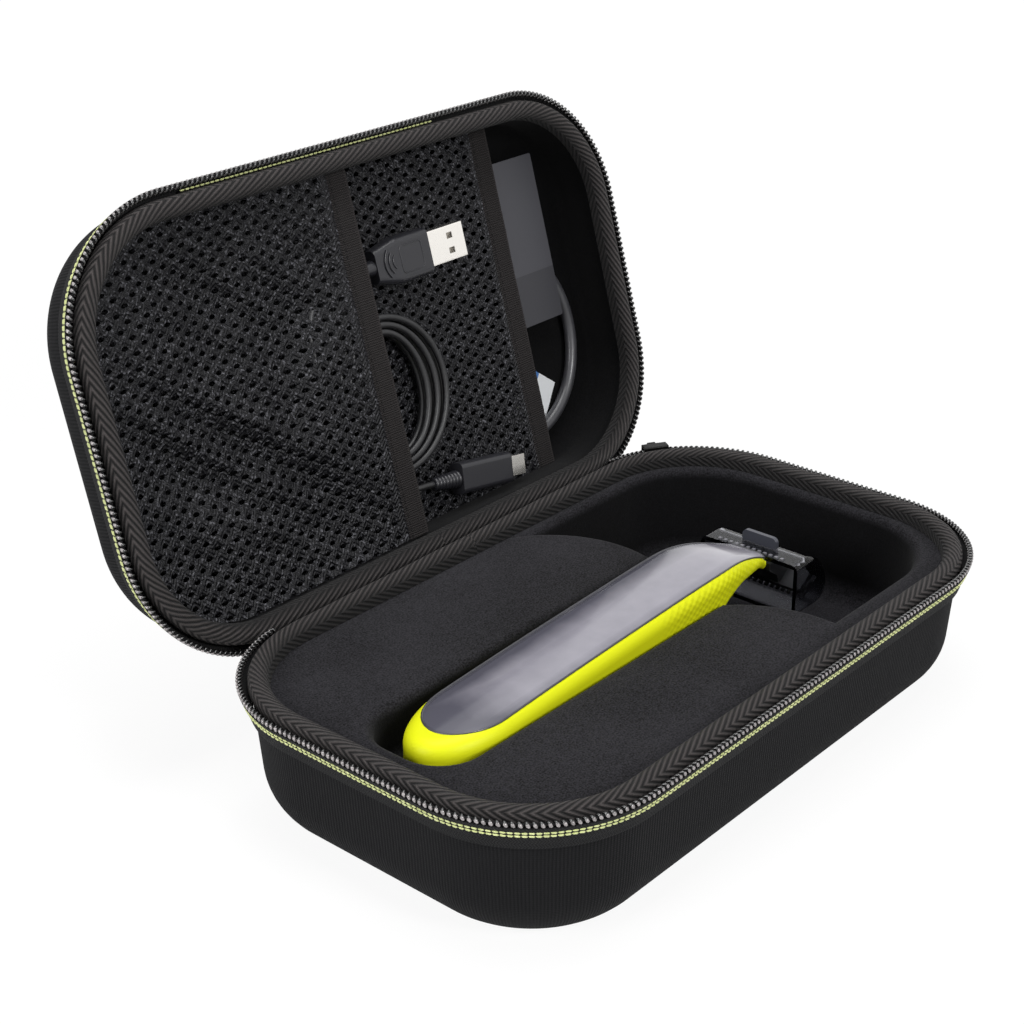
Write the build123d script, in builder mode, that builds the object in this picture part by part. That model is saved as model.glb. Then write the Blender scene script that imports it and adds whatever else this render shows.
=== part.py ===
from build123d import *
from math import acos, cos, degrees, radians, sin, tan
import os

os.makedirs("parts", exist_ok=True)

# ---------------------------------------------------------------------------
# Driving dimensions, in millimetres. +X runs along the case, +Y towards the
# hinge and +Z up. The origin is the middle of the face that the base rests on.
# ---------------------------------------------------------------------------

# Case outline, measured on the line of the zip chain
case_length = 235.0
case_width = 138.8
corner_radius = 42.8
base_height = 45.4
lid_depth = 26.0

# Moulded shells
wall_inset = 3.0
wall = 3.6
draft = 4.0
base_bottom_radius = 19.0
lid_top_radius = 12.0
rim_rise = 1.0
lining = 0.8
laminate_gap = 0.05

# Rolled binding over each rim
binding_crest = 2.2
binding_outer_inset = 2.1
binding_leg = 1.0
binding_roll = 2.0
binding_gap = 0.1

# Zip: tape, coil and slider
tape_thickness = 0.9
tape_height = 8.2
tape_top_inset = -0.35
coil_width = 2.0
coil_height = 1.9
zip_end_x = 80.0
slider_angle = 58.0
slider_length = 9.0
slider_plate = 0.8
slider_clearance = 0.35
pull_length = 22.0
pull_width = 5.0
pull_thickness = 1.4
pull_shoulder = 3.0
pull_frame = 1.2

# Hinge
open_angle = 105.2
hinge_inset = 2.3
hinge_drop = 4.7
closed_crest_gap = 0.4
hinge_strip_thickness = 0.9
hinge_strip_flap = 7.0
hinge_fold_out = 2.6
hinge_fold_sag = 5.4

# Formed tray in the base
plateau_drop = 3.2
tray_gap = 0.1
channel_tail_gap = 3.5
channel_width = 34.0
channel_middle_y = -1.5
channel_floor = 24.6
channel_end_radius = 13.0
channel_foot_radius = 4.5
well_left_front = 37.0
well_left_rear = 24.0
well_end_wall = 12.0
well_front_wall = 18.4
well_rear_wall = 12.4
well_corner_radius = 30.0
well_floor = 9.0
well_foot_radius = 7.0
nose_reach = 11.0
nose_rounding = 2.0
tray_lip_radius = 3.0

# Shaver
shaver_middle_y = -3.8
grip_width = 28.0
tail_end_wall = 20.5
tail_taper = 24.0
grip_end_x = 59.5
grip_bottom = 26.0
tail_height = 43.2
back_crest = 50.0
back_rounding = 5.0
neck_top = 42.0
neck_bottom = 36.4
neck_arch = 40.0
grip_edge_radius = 2.5
grip_wall = 2.2
cover_margin = 2.2
cover_tail_margin = 7.5
cover_thickness = 2.0
cover_gap = 0.08
button_radius = 5.0
button_proud = 0.6

piece_gap = 0.3


# ---------------------------------------------------------------------------
# Reference planes. Each half of the case is drawn in its own rim plane, which
# holds the chain line: local +Z points out of the opening, local +X is the
# case's +X.
# ---------------------------------------------------------------------------

closed_gap = 2 * binding_crest + closed_crest_gap
hinge_point = Vector(0, case_width / 2 - hinge_inset, base_height - hinge_drop)
closed_lid_middle = Vector(0, 0, base_height + closed_gap)
lid_middle = hinge_point + (closed_lid_middle - hinge_point).rotate(Axis.X, -open_angle)
lid_normal = Vector(0, 0, -1).rotate(Axis.X, -open_angle)

base_rim = Plane.XY.offset(base_height)
lid_rim = Plane(origin=lid_middle, x_dir=(1, 0, 0), z_dir=lid_normal)


def finish(piece, name):
    """Label a finished sub-part and write it as its own file."""
    piece.part.label = name
    export_step(piece.part, f"parts/{name}.step")


def slope(drop):
    """How far a drafted wall moves inwards over a drop."""
    return drop * tan(radians(draft))


def rim_loop(inset):
    """The rounded outline of the case at an inset from the chain line."""
    return RectangleRounded(
        case_length - 2 * inset, case_width - 2 * inset, corner_radius - inset
    )


def bowl_form(rim, inset, top, bottom, floor_radius):
    """A drafted, round-bottomed block that hangs from a rim plane."""
    with BuildPart() as form:
        with BuildSketch(rim.offset(top)):
            rim_loop(inset + slope(rim_rise - top))
        extrude(amount=-(top - bottom), taper=draft)
        floor_face = form.faces().sort_by(Axis(rim.origin, rim.z_dir))[0]
        fillet(floor_face.edges(), floor_radius)
    return form.part


def shell_part(rim, depth, floor_radius):
    """A moulded half shell: outer form less inner form."""
    outer = bowl_form(rim, wall_inset, rim_rise, -depth, floor_radius)
    inner = bowl_form(rim, wall_inset + wall, rim_rise, wall - depth, floor_radius - wall)
    with BuildPart() as shell:
        add(outer)
        add(inner, mode=Mode.SUBTRACT)
    return shell


def lining_part(rim, depth, floor_radius):
    """The thin cloth bonded to the inside of a shell."""
    skin = wall + laminate_gap
    outer = bowl_form(rim, wall_inset + skin, rim_rise, skin - depth, floor_radius - skin)
    deep = skin + lining
    inner = bowl_form(rim, wall_inset + deep, rim_rise, deep - depth, floor_radius - deep)
    with BuildPart() as cloth:
        add(outer)
        add(inner, mode=Mode.SUBTRACT)
    return cloth


def binding_part(rim, leg_depth):
    """The rolled tape that caps the rim of a shell: a channel upside down."""
    channel_inner = wall_inset + wall + lining + slope(rim_rise + leg_depth) + binding_gap
    outer_leg_depth = 1.6
    with BuildPart() as binding:
        with BuildSketch(rim.offset(-leg_depth)):
            rim_loop(binding_outer_inset)
            add_hole_loop(channel_inner + binding_leg)
        extrude(amount=leg_depth + binding_crest)
        crest = binding.faces().sort_by(Axis(rim.origin, rim.z_dir))[-1]
        fillet(crest.edges(), binding_roll)
        with BuildSketch(rim.offset(-leg_depth)):
            rim_loop(wall_inset - binding_gap)
            add_hole_loop(channel_inner)
        extrude(amount=leg_depth + rim_rise + binding_gap, mode=Mode.SUBTRACT)
        with BuildSketch(rim.offset(-leg_depth)):
            rim_loop(binding_outer_inset - 1)
            add_hole_loop(wall_inset + wall / 2)
        extrude(amount=leg_depth - outer_leg_depth, mode=Mode.SUBTRACT)
    return binding


def add_hole_loop(inset):
    """Cut the outline at an inset out of the sketch being drawn."""
    RectangleRounded(
        case_length - 2 * inset,
        case_width - 2 * inset,
        corner_radius - inset,
        mode=Mode.SUBTRACT,
    )


def rear_side(rim):
    """+1 where the hinge side is at the rim plane's local +Y, otherwise -1."""
    return 1 if rim is base_rim else -1


def hinge_side_block(rim):
    """The space along the hinge, between the two ends of the zip."""
    with BuildPart() as block:
        with BuildSketch(rim.offset(-case_width / 4)):
            with Locations((0, rear_side(rim) * case_width / 2)):
                Rectangle(2 * zip_end_x, corner_radius)
        extrude(amount=case_width / 2)
    return block.part


def tape_ring(rim, top_inset, bottom_inset):
    """A flared block between two outlines, used for both faces of the tape."""
    with BuildPart() as ring:
        with BuildSketch(rim.offset(-coil_height / 2)):
            rim_loop(top_inset)
        with BuildSketch(rim.offset(-coil_height / 2 - tape_height)):
            rim_loop(bottom_inset)
        loft(ruled=True)
    return ring.part


def zip_tape_part(rim):
    """The woven tape that flares from the shell wall up to the coil."""
    wall_bottom = wall_inset + slope(rim_rise + coil_height / 2 + tape_height) - laminate_gap
    outer = tape_ring(rim, tape_top_inset, wall_bottom - tape_thickness)
    inner = tape_ring(rim, tape_top_inset + tape_thickness, wall_bottom)
    with BuildPart() as tape:
        add(outer)
        add(inner, mode=Mode.SUBTRACT)
        add(hinge_side_block(rim), mode=Mode.SUBTRACT)
    return tape


def zip_coil_part(rim):
    """The nylon coil on the edge of the tape, as the bead that its turns fill."""
    with BuildPart() as coil:
        with BuildSketch(rim.offset(-coil_height / 2)):
            rim_loop(-coil_width / 2)
            add_hole_loop(coil_width / 2)
        extrude(amount=coil_height)
        crest = coil.faces().sort_by(Axis(rim.origin, rim.z_dir))[-1]
        chamfer(crest.edges(), coil_width * 0.3)
        add(hinge_side_block(rim), mode=Mode.SUBTRACT)
    return coil


# ---------------------------------------------------------------------------
# Base half
# ---------------------------------------------------------------------------

base_shell = shell_part(base_rim, base_height, base_bottom_radius)
finish(base_shell, "base_shell")

base_lining = lining_part(base_rim, base_height, base_bottom_radius)
finish(base_lining, "base_lining")

base_binding = binding_part(base_rim, plateau_drop - tray_gap)
finish(base_binding, "base_binding")

base_zip_tape = zip_tape_part(base_rim)
finish(base_zip_tape, "base_zip_tape")

base_zip_coil = zip_coil_part(base_rim)
finish(base_zip_coil, "base_zip_coil")

# ---------------------------------------------------------------------------
# Lid half
# ---------------------------------------------------------------------------

lid_shell = shell_part(lid_rim, lid_depth, lid_top_radius)
finish(lid_shell, "lid_shell")

lid_lining = lining_part(lid_rim, lid_depth, lid_top_radius)
finish(lid_lining, "lid_lining")

lid_binding = binding_part(lid_rim, plateau_drop - tray_gap)
finish(lid_binding, "lid_binding")

lid_zip_tape = zip_tape_part(lid_rim)
finish(lid_zip_tape, "lid_zip_tape")

lid_zip_coil = zip_coil_part(lid_rim)
finish(lid_zip_coil, "lid_zip_coil")


# ---------------------------------------------------------------------------
# Hinge: a cloth strip sewn to the outside of both rear walls. It is drawn as
# it hangs between the two halves with the lid open.
# ---------------------------------------------------------------------------

strip_reach = case_length / 2 - corner_radius - 0.7


def rear_wall_point(rim, height, out):
    """A point beside a shell's rear wall: height from the chain line, out from the wall."""
    inset = wall_inset + slope(rim_rise - height) - out
    return rim.from_local_coords((0, rear_side(rim) * (case_width / 2 - inset), height))


def hinge_strip_part():
    stand_off = hinge_strip_thickness / 2 + tray_gap
    flap_top = -2.2 - hinge_strip_thickness
    bend = [
        rear_wall_point(base_rim, flap_top - hinge_strip_flap, stand_off),
        rear_wall_point(base_rim, flap_top, stand_off),
        rear_wall_point(base_rim, flap_top + 0.6, hinge_fold_out),
        rear_wall_point(base_rim, flap_top - hinge_fold_sag, hinge_fold_out + 2),
        rear_wall_point(lid_rim, flap_top + 1.4, hinge_fold_out - 0.4),
        rear_wall_point(lid_rim, flap_top - 1.0, stand_off),
        rear_wall_point(lid_rim, flap_top - hinge_strip_flap, stand_off),
    ]
    with BuildPart() as strip:
        with BuildSketch(Plane.YZ.offset(-strip_reach)):
            with BuildLine() as fold:
                FilletPolyline(*[(point.Y, point.Z) for point in bend], radius=0.8)
            trace(line_width=hinge_strip_thickness)
        extrude(amount=2 * strip_reach)
    return strip


hinge_strip = hinge_strip_part()
finish(hinge_strip, "hinge_strip")

# ---------------------------------------------------------------------------
# Zip slider and its pull, parked at the end of the chain on the rear corner
# ---------------------------------------------------------------------------

corner_x = case_length / 2 - corner_radius
corner_y = case_width / 2 - corner_radius
slider_out = Vector(cos(radians(slider_angle)), sin(radians(slider_angle)), 0)
slider_along = Vector(-slider_out.Y, slider_out.X, 0)
slider_middle = Vector(corner_x, corner_y, base_height) + slider_out * corner_radius
slider_section = Plane(origin=slider_middle, x_dir=slider_out, z_dir=-slider_along)

slider_lip = 1.2
throat_clearance = 0.25
slider_inner = -(coil_width / 2 + throat_clearance + 0.5)
slider_outer = coil_width / 2 + slider_clearance + slider_plate
slider_low = -(coil_height / 2 + slider_lip)
slider_top = coil_height / 2 + slider_clearance + slider_plate
ear_gap = 3.2
ear_thickness = 0.9
ear_root = 1.6
ear_tip = 1.2
pin_radius = 0.5
pin_out = slider_outer + 1.7
eye_clearance = 0.25
eye_radius = pin_radius + eye_clearance + 0.8

with BuildPart() as zip_slider:
    with BuildSketch(slider_section.offset(-slider_length / 2)):
        with Locations(((slider_inner + slider_outer) / 2, (slider_low + slider_top) / 2)):
            RectangleRounded(slider_outer - slider_inner, slider_top - slider_low, 0.4)
        with Locations(((slider_clearance - throat_clearance) / 2, 0)):
            Rectangle(
                coil_width + slider_clearance + throat_clearance,
                coil_height + 2 * slider_clearance,
                mode=Mode.SUBTRACT,
            )
        with Locations(((slider_clearance - throat_clearance) / 2 - 0.15, slider_low)):
            Rectangle(
                coil_width + throat_clearance, 2 * slider_lip + coil_height, mode=Mode.SUBTRACT
            )
    extrude(amount=slider_length)
    for ear_start in (-ear_gap / 2 - ear_thickness, ear_gap / 2):
        with BuildSketch(slider_section.offset(ear_start)):
            with BuildLine():
                Polyline(
                    (slider_outer - 0.1, ear_root),
                    (pin_out, ear_tip),
                    (pin_out + ear_tip, 0),
                    (pin_out, -ear_tip),
                    (slider_outer - 0.1, -ear_root),
                    close=True,
                )
            make_face()
        extrude(amount=ear_thickness)
    with BuildSketch(slider_section.offset(-ear_gap / 2)):
        with Locations((pin_out, 0)):
            Circle(pin_radius)
    extrude(amount=ear_gap)
finish(zip_slider, "zip_slider")

with BuildPart() as zip_pull:
    with BuildSketch(slider_section.offset(-ear_gap / 2 + piece_gap)):
        with Locations((pin_out, 0)):
            Circle(eye_radius)
        with Locations((pin_out, -eye_radius - pull_shoulder / 2)):
            Rectangle(pull_thickness, 2 * eye_radius + pull_shoulder)
        with Locations((pin_out, 0)):
            Circle(pin_radius + eye_clearance, mode=Mode.SUBTRACT)
    extrude(amount=ear_gap - 2 * piece_gap)
    pull_face = Plane(
        origin=slider_section.from_local_coords((pin_out - pull_thickness / 2, 0, 0)),
        x_dir=slider_along,
        z_dir=slider_out,
    )
    with BuildSketch(pull_face):
        with Locations((0, -pull_shoulder - pull_length / 2)):
            RectangleRounded(pull_width, pull_length, 1.6)
            RectangleRounded(
                pull_width - 2 * pull_frame, pull_length / 2, 1.0, mode=Mode.SUBTRACT
            )
    extrude(amount=pull_thickness)
finish(zip_pull, "zip_pull")

# ---------------------------------------------------------------------------
# Formed tray: a pressed skin with a channel for the shaver and a deep well
# ---------------------------------------------------------------------------

plateau = base_height - plateau_drop
tray_inset = wall_inset + wall + lining + 2 * laminate_gap + tray_gap
tray_bottom = wall + lining + 2 * laminate_gap + tray_gap - base_height
tray_floor_radius = base_bottom_radius - wall - lining
grip_tail_x = tail_end_wall - case_length / 2
channel_left = grip_tail_x - channel_tail_gap
well_right = case_length / 2 - well_end_wall
well_front = well_front_wall - case_width / 2
well_rear = case_width / 2 - well_rear_wall


def channel_form():
    """The shaver's channel, which runs out into the well."""
    right = well_left_front + channel_end_radius
    with BuildPart() as form:
        with BuildSketch(Plane.XY.offset(channel_floor)):
            with Locations(((right + channel_left) / 2, channel_middle_y)):
                RectangleRounded(right - channel_left, channel_width, channel_end_radius)
        extrude(amount=base_height - channel_floor)
        foot = form.faces().sort_by(Axis.Z)[0]
        fillet(foot.edges(), channel_foot_radius)
    return form.part


def well_form():
    """The accessory well, whose left side is two rounded noses of the plateau."""
    channel_rear = channel_middle_y + channel_width / 2
    channel_front = channel_middle_y - channel_width / 2
    rear_nose = well_left_rear + nose_reach
    with BuildPart() as form:
        with BuildSketch(Plane.XY.offset(well_floor)) as outline:
            with BuildLine():
                Polyline(
                    (well_left_rear, well_rear),
                    (well_right, well_rear),
                    (well_right, well_front),
                    (well_left_front, well_front),
                )
                ThreePointArc(
                    (well_left_front, well_front),
                    (rear_nose - nose_rounding, (well_front + channel_front) / 2 + 2 * nose_rounding),
                    (well_left_rear, channel_front),
                )
                Line((well_left_rear, channel_front), (rear_nose, channel_rear))
                ThreePointArc(
                    (rear_nose, channel_rear),
                    (rear_nose + nose_rounding / 2, (well_rear + channel_rear) / 2),
                    (well_left_rear, well_rear),
                )
            make_face()
            right_corners = outline.vertices().group_by(Axis.X)[-1]
            fillet(right_corners, well_corner_radius)
        extrude(amount=base_height - well_floor)
        foot = form.faces().sort_by(Axis.Z)[0]
        fillet(foot.edges(), well_foot_radius)
    return form.part


def tray_part():
    block = bowl_form(base_rim, tray_inset, -plateau_drop, tray_bottom, tray_floor_radius)
    with BuildPart() as tray:
        add(block)
        add(channel_form(), mode=Mode.SUBTRACT)
        add(well_form(), mode=Mode.SUBTRACT)
        top = tray.faces().filter_by(Axis.Z).sort_by(Axis.Z)[-1]
        lip = top.inner_wires()[0].edges()
        fillet(lip, tray_lip_radius)
    return tray


tray = tray_part()
finish(tray, "tray")

# ---------------------------------------------------------------------------
# Shaver, lying back up in the channel with its head towards +X
# ---------------------------------------------------------------------------

side_plane = Plane.XZ.offset(-shaver_middle_y)
neck_half_width = 9.3
neck_start_x = 24.0
tail_overrun = 1.0
tail_wall_foot = 36.0
tail_start_x = grip_tail_x + tail_taper
half_width = grip_width / 2


def back_line(drop):
    """The long curve of the shaver's back, lowered by a drop."""
    return Spline(
        (grip_tail_x - tail_overrun, tail_height - drop),
        (-45, back_crest - 3.0 - drop),
        (0, back_crest - 0.8 - drop),
        (20, back_crest - drop),
        (38, back_crest - 0.8 - drop),
        (49, back_crest - 3.8 - drop),
        (grip_end_x, neck_top - drop),
    )


def front_line():
    """The underside: a straight grip that lifts into the arched neck."""
    return Spline(
        (grip_end_x, neck_bottom),
        (46, neck_arch),
        (33, neck_arch - 0.6),
        (20, 31.5),
        (2, grip_bottom),
        tangents=((-1, 0.55), (-1, 0)),
    )


def plan_outline(margin, tail_margin):
    """The shaver's outline from above, drawn in by a margin and more at its tail."""
    middle = shaver_middle_y
    half = half_width - margin
    neck = neck_half_width - margin
    with BuildLine() as outline:
        EllipticalCenterArc(
            (tail_start_x, middle), tail_taper - tail_margin, half, start_angle=90, arc_size=180
        )
        Line((tail_start_x, middle - half), (neck_start_x, middle - half))
        Spline(
            (neck_start_x, middle - half),
            (grip_end_x + margin, middle - neck),
            tangents=((1, 0), (1, 0)),
        )
        Line((grip_end_x + margin, middle - neck), (grip_end_x + margin, middle + neck))
        Spline(
            (grip_end_x + margin, middle + neck),
            (neck_start_x, middle + half),
            tangents=((-1, 0), (-1, 0)),
        )
        Line((neck_start_x, middle + half), (tail_start_x, middle + half))
    return outline.line


def plan_prism(margin, tail_margin):
    with BuildPart() as prism:
        with BuildSketch():
            add(plan_outline(margin, tail_margin))
            make_face()
        extrude(amount=base_height + 2 * grip_width)
    return prism.part


def shaver_body():
    """The whole handle before it is divided into grip and back cover."""
    with BuildPart() as body:
        with BuildSketch(side_plane):
            with BuildLine():
                back_line(0)
                Line((grip_end_x, neck_top), (grip_end_x, neck_bottom))
                front_line()
                Line((2, grip_bottom), (tail_start_x, grip_bottom))
                Spline(
                    (tail_start_x, grip_bottom),
                    (grip_tail_x - tail_overrun, tail_wall_foot),
                    tangents=((-1, 0), (-1, 1)),
                )
                Line(
                    (grip_tail_x - tail_overrun, tail_wall_foot),
                    (grip_tail_x - tail_overrun, tail_height),
                )
            make_face()
        extrude(amount=grip_width, both=True)
        add(plan_prism(0, 0), mode=Mode.INTERSECT)
        back = body.faces().sort_by(Axis.Z)[-1]
        long_edges = back.edges().sort_by(Axis.X)[:-1]
        fillet(long_edges, back_rounding)
    return body.part


def back_band(drop_top, drop_bottom, left, right):
    """A band under the back curve between two drops and two stations."""
    with BuildPart() as band:
        with BuildSketch(side_plane):
            with BuildLine():
                back_line(drop_top)
                Line((grip_end_x, neck_top - drop_top), (grip_end_x, neck_top - drop_bottom))
                back_line(drop_bottom)
                Line(
                    (grip_tail_x - tail_overrun, tail_height - drop_bottom),
                    (grip_tail_x - tail_overrun, tail_height - drop_top),
                )
            make_face()
            with Locations(((left + right) / 2, base_height)):
                Rectangle(right - left, base_height, mode=Mode.INTERSECT)
        extrude(amount=grip_width, both=True)
    return band.part


cavity_tail_wall = 21.0
cover_left = grip_tail_x + cover_tail_margin
cover_right = grip_end_x - 1.0
cover_pocket = back_band(-1, cover_thickness + cover_gap, cover_left, grip_end_x) & plan_prism(
    cover_margin, cover_tail_margin
)
cover_blank = back_band(-1, cover_thickness, cover_left, cover_right) & plan_prism(
    cover_margin + cover_gap, cover_tail_margin + cover_gap
)
cavity_left = grip_tail_x + cavity_tail_wall
cavity_right = 15.0
cavity_floor = grip_bottom + grip_wall
button_x = -20.0
battery_left = cavity_left + 3.0
battery_button_gap = 7.0
battery_length = button_x - button_radius - battery_button_gap - battery_left
battery_radius = 6.9
board_left = battery_left + 22.0
board_right = -12.0
board_width = 15.0
board_thickness = 1.0
board_gap = 0.15
motor_left = -10.0
motor_length = 22.0
motor_radius = 6.4

with BuildPart() as shaver_grip:
    add(shaver_body())
    front_edges = shaver_grip.faces().sort_by(Axis.Z)[0].edges()
    fillet(front_edges, grip_edge_radius)
    add(cover_pocket, mode=Mode.SUBTRACT)
    with BuildSketch(Plane.XY.offset(cavity_floor)):
        with Locations(((cavity_left + cavity_right) / 2, shaver_middle_y)):
            RectangleRounded(
                cavity_right - cavity_left, grip_width - 2 * cover_margin - 2.8, 8
            )
    extrude(amount=back_crest - cavity_floor, mode=Mode.SUBTRACT)
    with BuildSketch(Plane.XY.offset(grip_bottom)):
        with Locations((button_x, shaver_middle_y)):
            Circle(button_radius + piece_gap)
    extrude(amount=grip_wall + 1, mode=Mode.SUBTRACT)
finish(shaver_grip, "shaver_grip")

with BuildPart() as shaver_back_cover:
    add(cover_blank)
    add(shaver_body(), mode=Mode.INTERSECT)
finish(shaver_back_cover, "shaver_back_cover")

with BuildPart() as power_button:
    with BuildSketch(Plane.XY.offset(grip_bottom - button_proud)):
        with Locations((button_x, shaver_middle_y)):
            Circle(button_radius)
    extrude(amount=button_proud + grip_wall + piece_gap)
    chamfer(power_button.edges().sort_by(Axis.Z)[0], button_proud / 2)
    with BuildSketch(Plane.XY.offset(cavity_floor + piece_gap)):
        with Locations((button_x, shaver_middle_y)):
            Circle(button_radius + 1.2)
    extrude(amount=1.2)
finish(power_button, "power_button")

with BuildPart() as battery:
    battery_plane = Plane.YZ.offset(battery_left)
    with BuildSketch(battery_plane):
        with Locations((shaver_middle_y, cavity_floor + battery_radius)):
            Circle(battery_radius)
    extrude(amount=battery_length)
    with BuildSketch(battery_plane.offset(battery_length)):
        with Locations((shaver_middle_y, cavity_floor + battery_radius)):
            Circle(battery_radius * 0.35)
    extrude(amount=1.0)
finish(battery, "battery")

with BuildPart() as circuit_board:
    with BuildSketch(Plane.XY.offset(cavity_floor + 2 * battery_radius + board_gap)):
        with Locations(((board_left + board_right) / 2, shaver_middle_y)):
            RectangleRounded(board_right - board_left, board_width, 1.5)
    extrude(amount=board_thickness)
finish(circuit_board, "circuit_board")

with BuildPart() as motor:
    with BuildSketch(Plane.YZ.offset(motor_left)):
        with Locations((shaver_middle_y, cavity_floor + motor_radius)):
            Circle(motor_radius)
    extrude(amount=motor_length)
    with BuildSketch(Plane.YZ.offset(motor_left + motor_length)):
        with Locations((shaver_middle_y, cavity_floor + motor_radius)):
            Circle(1.0)
    extrude(amount=2.5)
finish(motor, "motor")

# ---------------------------------------------------------------------------
# Shaver head: a carrier that plugs into the neck, a toothed guard, the cutter
# that runs behind it, and the clear cap that covers them for travel
# ---------------------------------------------------------------------------

head_width = 32.0
blade_width = 34.0
blade_depth = 9.0
blade_thickness = 0.8
blade_tilt = 32.0
tooth_gap = 1.1
head_tooth_pitch = 2.2
cutter_stroke = 0.7
cutter_gap = 0.15
cap_wall = 1.4
cap_gap = 0.5
cap_left = grip_end_x + 0.5
cap_right = 79.0
cap_top = 41.2
cap_brow_radius = 12.5
cap_chin_radius = 6.2
cap_nose_z = cap_top - cap_brow_radius
cap_bottom = cap_nose_z - cap_chin_radius
cap_end_rounding = 2.5
cap_width = 2 * (blade_width / 2 + cap_gap + cap_wall)
tab_x = 65.8
tab_width = 13.2
tab_height = 3.8
tab_thickness = 1.5
nib_pitch = 2.2
nib_count = 12
nib_width = 1.1
nib_proud = 0.6
neck_gap = 0.1
blade_middle_x = 69.5
blade_middle_z = 30.2
carrier_top = 39.2

blade_plane = Plane(
    origin=(blade_middle_x, shaver_middle_y, blade_middle_z),
    x_dir=(0, 1, 0),
    z_dir=(sin(radians(blade_tilt)), 0, -cos(radians(blade_tilt))),
)

with BuildPart() as blade_carrier:
    with BuildSketch(side_plane):
        with BuildLine():
            Polyline(
                (grip_end_x + neck_gap, carrier_top),
                (grip_end_x + neck_gap, neck_bottom + 0.4),
                (blade_middle_x - 5.5, blade_middle_z + 3.4),
                (blade_middle_x - 3.9, blade_middle_z - 0.8),
                (blade_middle_x + 3.9, blade_middle_z + 4.0),
                (blade_middle_x + 2.0, blade_middle_z + 7.0),
                (blade_middle_x - 3.0, carrier_top),
                close=True,
            )
        make_face()
    extrude(amount=neck_half_width - 0.6, both=True)
    with BuildSketch(blade_plane.offset(-2.6)):
        RectangleRounded(head_width, blade_depth - 1, 1.5)
    extrude(amount=1.7)
finish(blade_carrier, "blade_carrier")

with BuildPart() as blade_cutter:
    with BuildSketch(blade_plane.offset(-0.9 + cutter_gap)):
        Rectangle(head_width - 4, blade_depth - 3.5)
        with GridLocations(head_tooth_pitch, blade_depth - 3, 12, 2):
            Rectangle(tooth_gap, 1.6)
    extrude(amount=0.45)
finish(blade_cutter, "blade_cutter")

with BuildPart() as blade_guard:
    with BuildSketch(blade_plane):
        Rectangle(blade_width, blade_depth)
        with GridLocations(head_tooth_pitch, blade_depth - 1.2, 15, 2):
            Rectangle(tooth_gap, 2.4, mode=Mode.SUBTRACT)
    extrude(amount=blade_thickness)
    with BuildSketch(blade_plane.offset(-0.9)):
        with GridLocations(blade_width - 1.2, 0, 2, 1):
            Rectangle(1.0, 3.0)
    extrude(amount=0.9)
finish(blade_guard, "blade_guard")


def cap_profile(margin):
    """Side profile of the travel cap, drawn in by its wall except at its mouth."""
    mouth = cap_left - margin
    brow_x = cap_right - cap_brow_radius
    chin_x = cap_right - cap_chin_radius
    with BuildSketch(side_plane) as profile:
        with BuildLine():
            Line((mouth, cap_top - margin), (brow_x, cap_top - margin))
            CenterArc((brow_x, cap_nose_z), cap_brow_radius - margin, 90, -90)
            CenterArc((chin_x, cap_nose_z), cap_chin_radius - margin, 0, -90)
            Line((chin_x, cap_bottom + margin), (mouth, cap_bottom + margin))
            Line((mouth, cap_bottom + margin), (mouth, cap_top - margin))
        make_face()
    return profile.sketch


def cap_end_edges(cap):
    """The edges round both ends of the cap, but for those at its mouth."""
    ends = cap.faces().filter_by(Axis.Y)
    return ends.edges().filter_by(lambda edge: edge.center().X > cap_left + cap_wall)


with BuildPart() as travel_cap:
    with BuildSketch(side_plane):
        add(cap_profile(0))
    extrude(amount=cap_width / 2, both=True)
    fillet(cap_end_edges(travel_cap), cap_end_rounding)
    with BuildSketch(side_plane):
        add(cap_profile(cap_wall))
    extrude(amount=cap_width / 2 - cap_wall, both=True, mode=Mode.SUBTRACT)
    with BuildSketch(Plane.YZ.offset(tab_x)):
        with Locations((shaver_middle_y, cap_top + tab_height / 2 - 0.5)):
            RectangleRounded(tab_width, tab_height + 1.0, 1.8)
    extrude(amount=tab_thickness)
    with BuildSketch(Plane.XY.offset(cap_top - cap_wall / 2)):
        with Locations((cap_left + nib_width, shaver_middle_y)):
            with GridLocations(0, nib_pitch, 1, nib_count):
                Rectangle(nib_width, nib_width)
    extrude(amount=cap_wall / 2 + nib_proud)
finish(travel_cap, "travel_cap")

# ---------------------------------------------------------------------------
# Lid pockets: two cloth-mesh panels, one over the other, each with an elastic
# band along its open edge
# ---------------------------------------------------------------------------

mesh_thickness = 0.8
front_mesh_depth = 5.6
rear_mesh_depth = 14.1
mesh_inset = 8.7
band_width = 9.0
band_thickness = 1.1
front_band_left = -7.5
rear_band_left = 67.0
band_gap = 0.05


def lid_point(x, out, height):
    """A point in the lid: out from the hinge edge, height from the chain line."""
    return lid_rim.from_local_coords((x, out - case_width / 2, height))


def mesh_panel(depth, open_edge):
    """A mesh sheet from the left end of the lid to its open edge."""
    with BuildPart() as panel:
        with BuildSketch(lid_rim.offset(-depth - mesh_thickness)):
            rim_loop(mesh_inset)
            with Locations((open_edge - case_length / 2, 0)):
                Rectangle(case_length, case_width, mode=Mode.INTERSECT)
        extrude(amount=mesh_thickness)
    return panel


def band_strip(depth, left):
    """A woven elastic band that runs across the lid, rim to rim."""
    with BuildPart() as band:
        with BuildSketch(lid_rim.offset(-depth - mesh_thickness)):
            rim_loop(mesh_inset)
            with Locations((left + band_width / 2, 0)):
                Rectangle(band_width, case_width, mode=Mode.INTERSECT)
        extrude(amount=band_thickness)
    return band


pocket_mesh_front = mesh_panel(front_mesh_depth, front_band_left - band_gap)
finish(pocket_mesh_front, "pocket_mesh_front")

pocket_mesh_rear = mesh_panel(rear_mesh_depth, rear_band_left - band_gap)
finish(pocket_mesh_rear, "pocket_mesh_rear")

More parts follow.
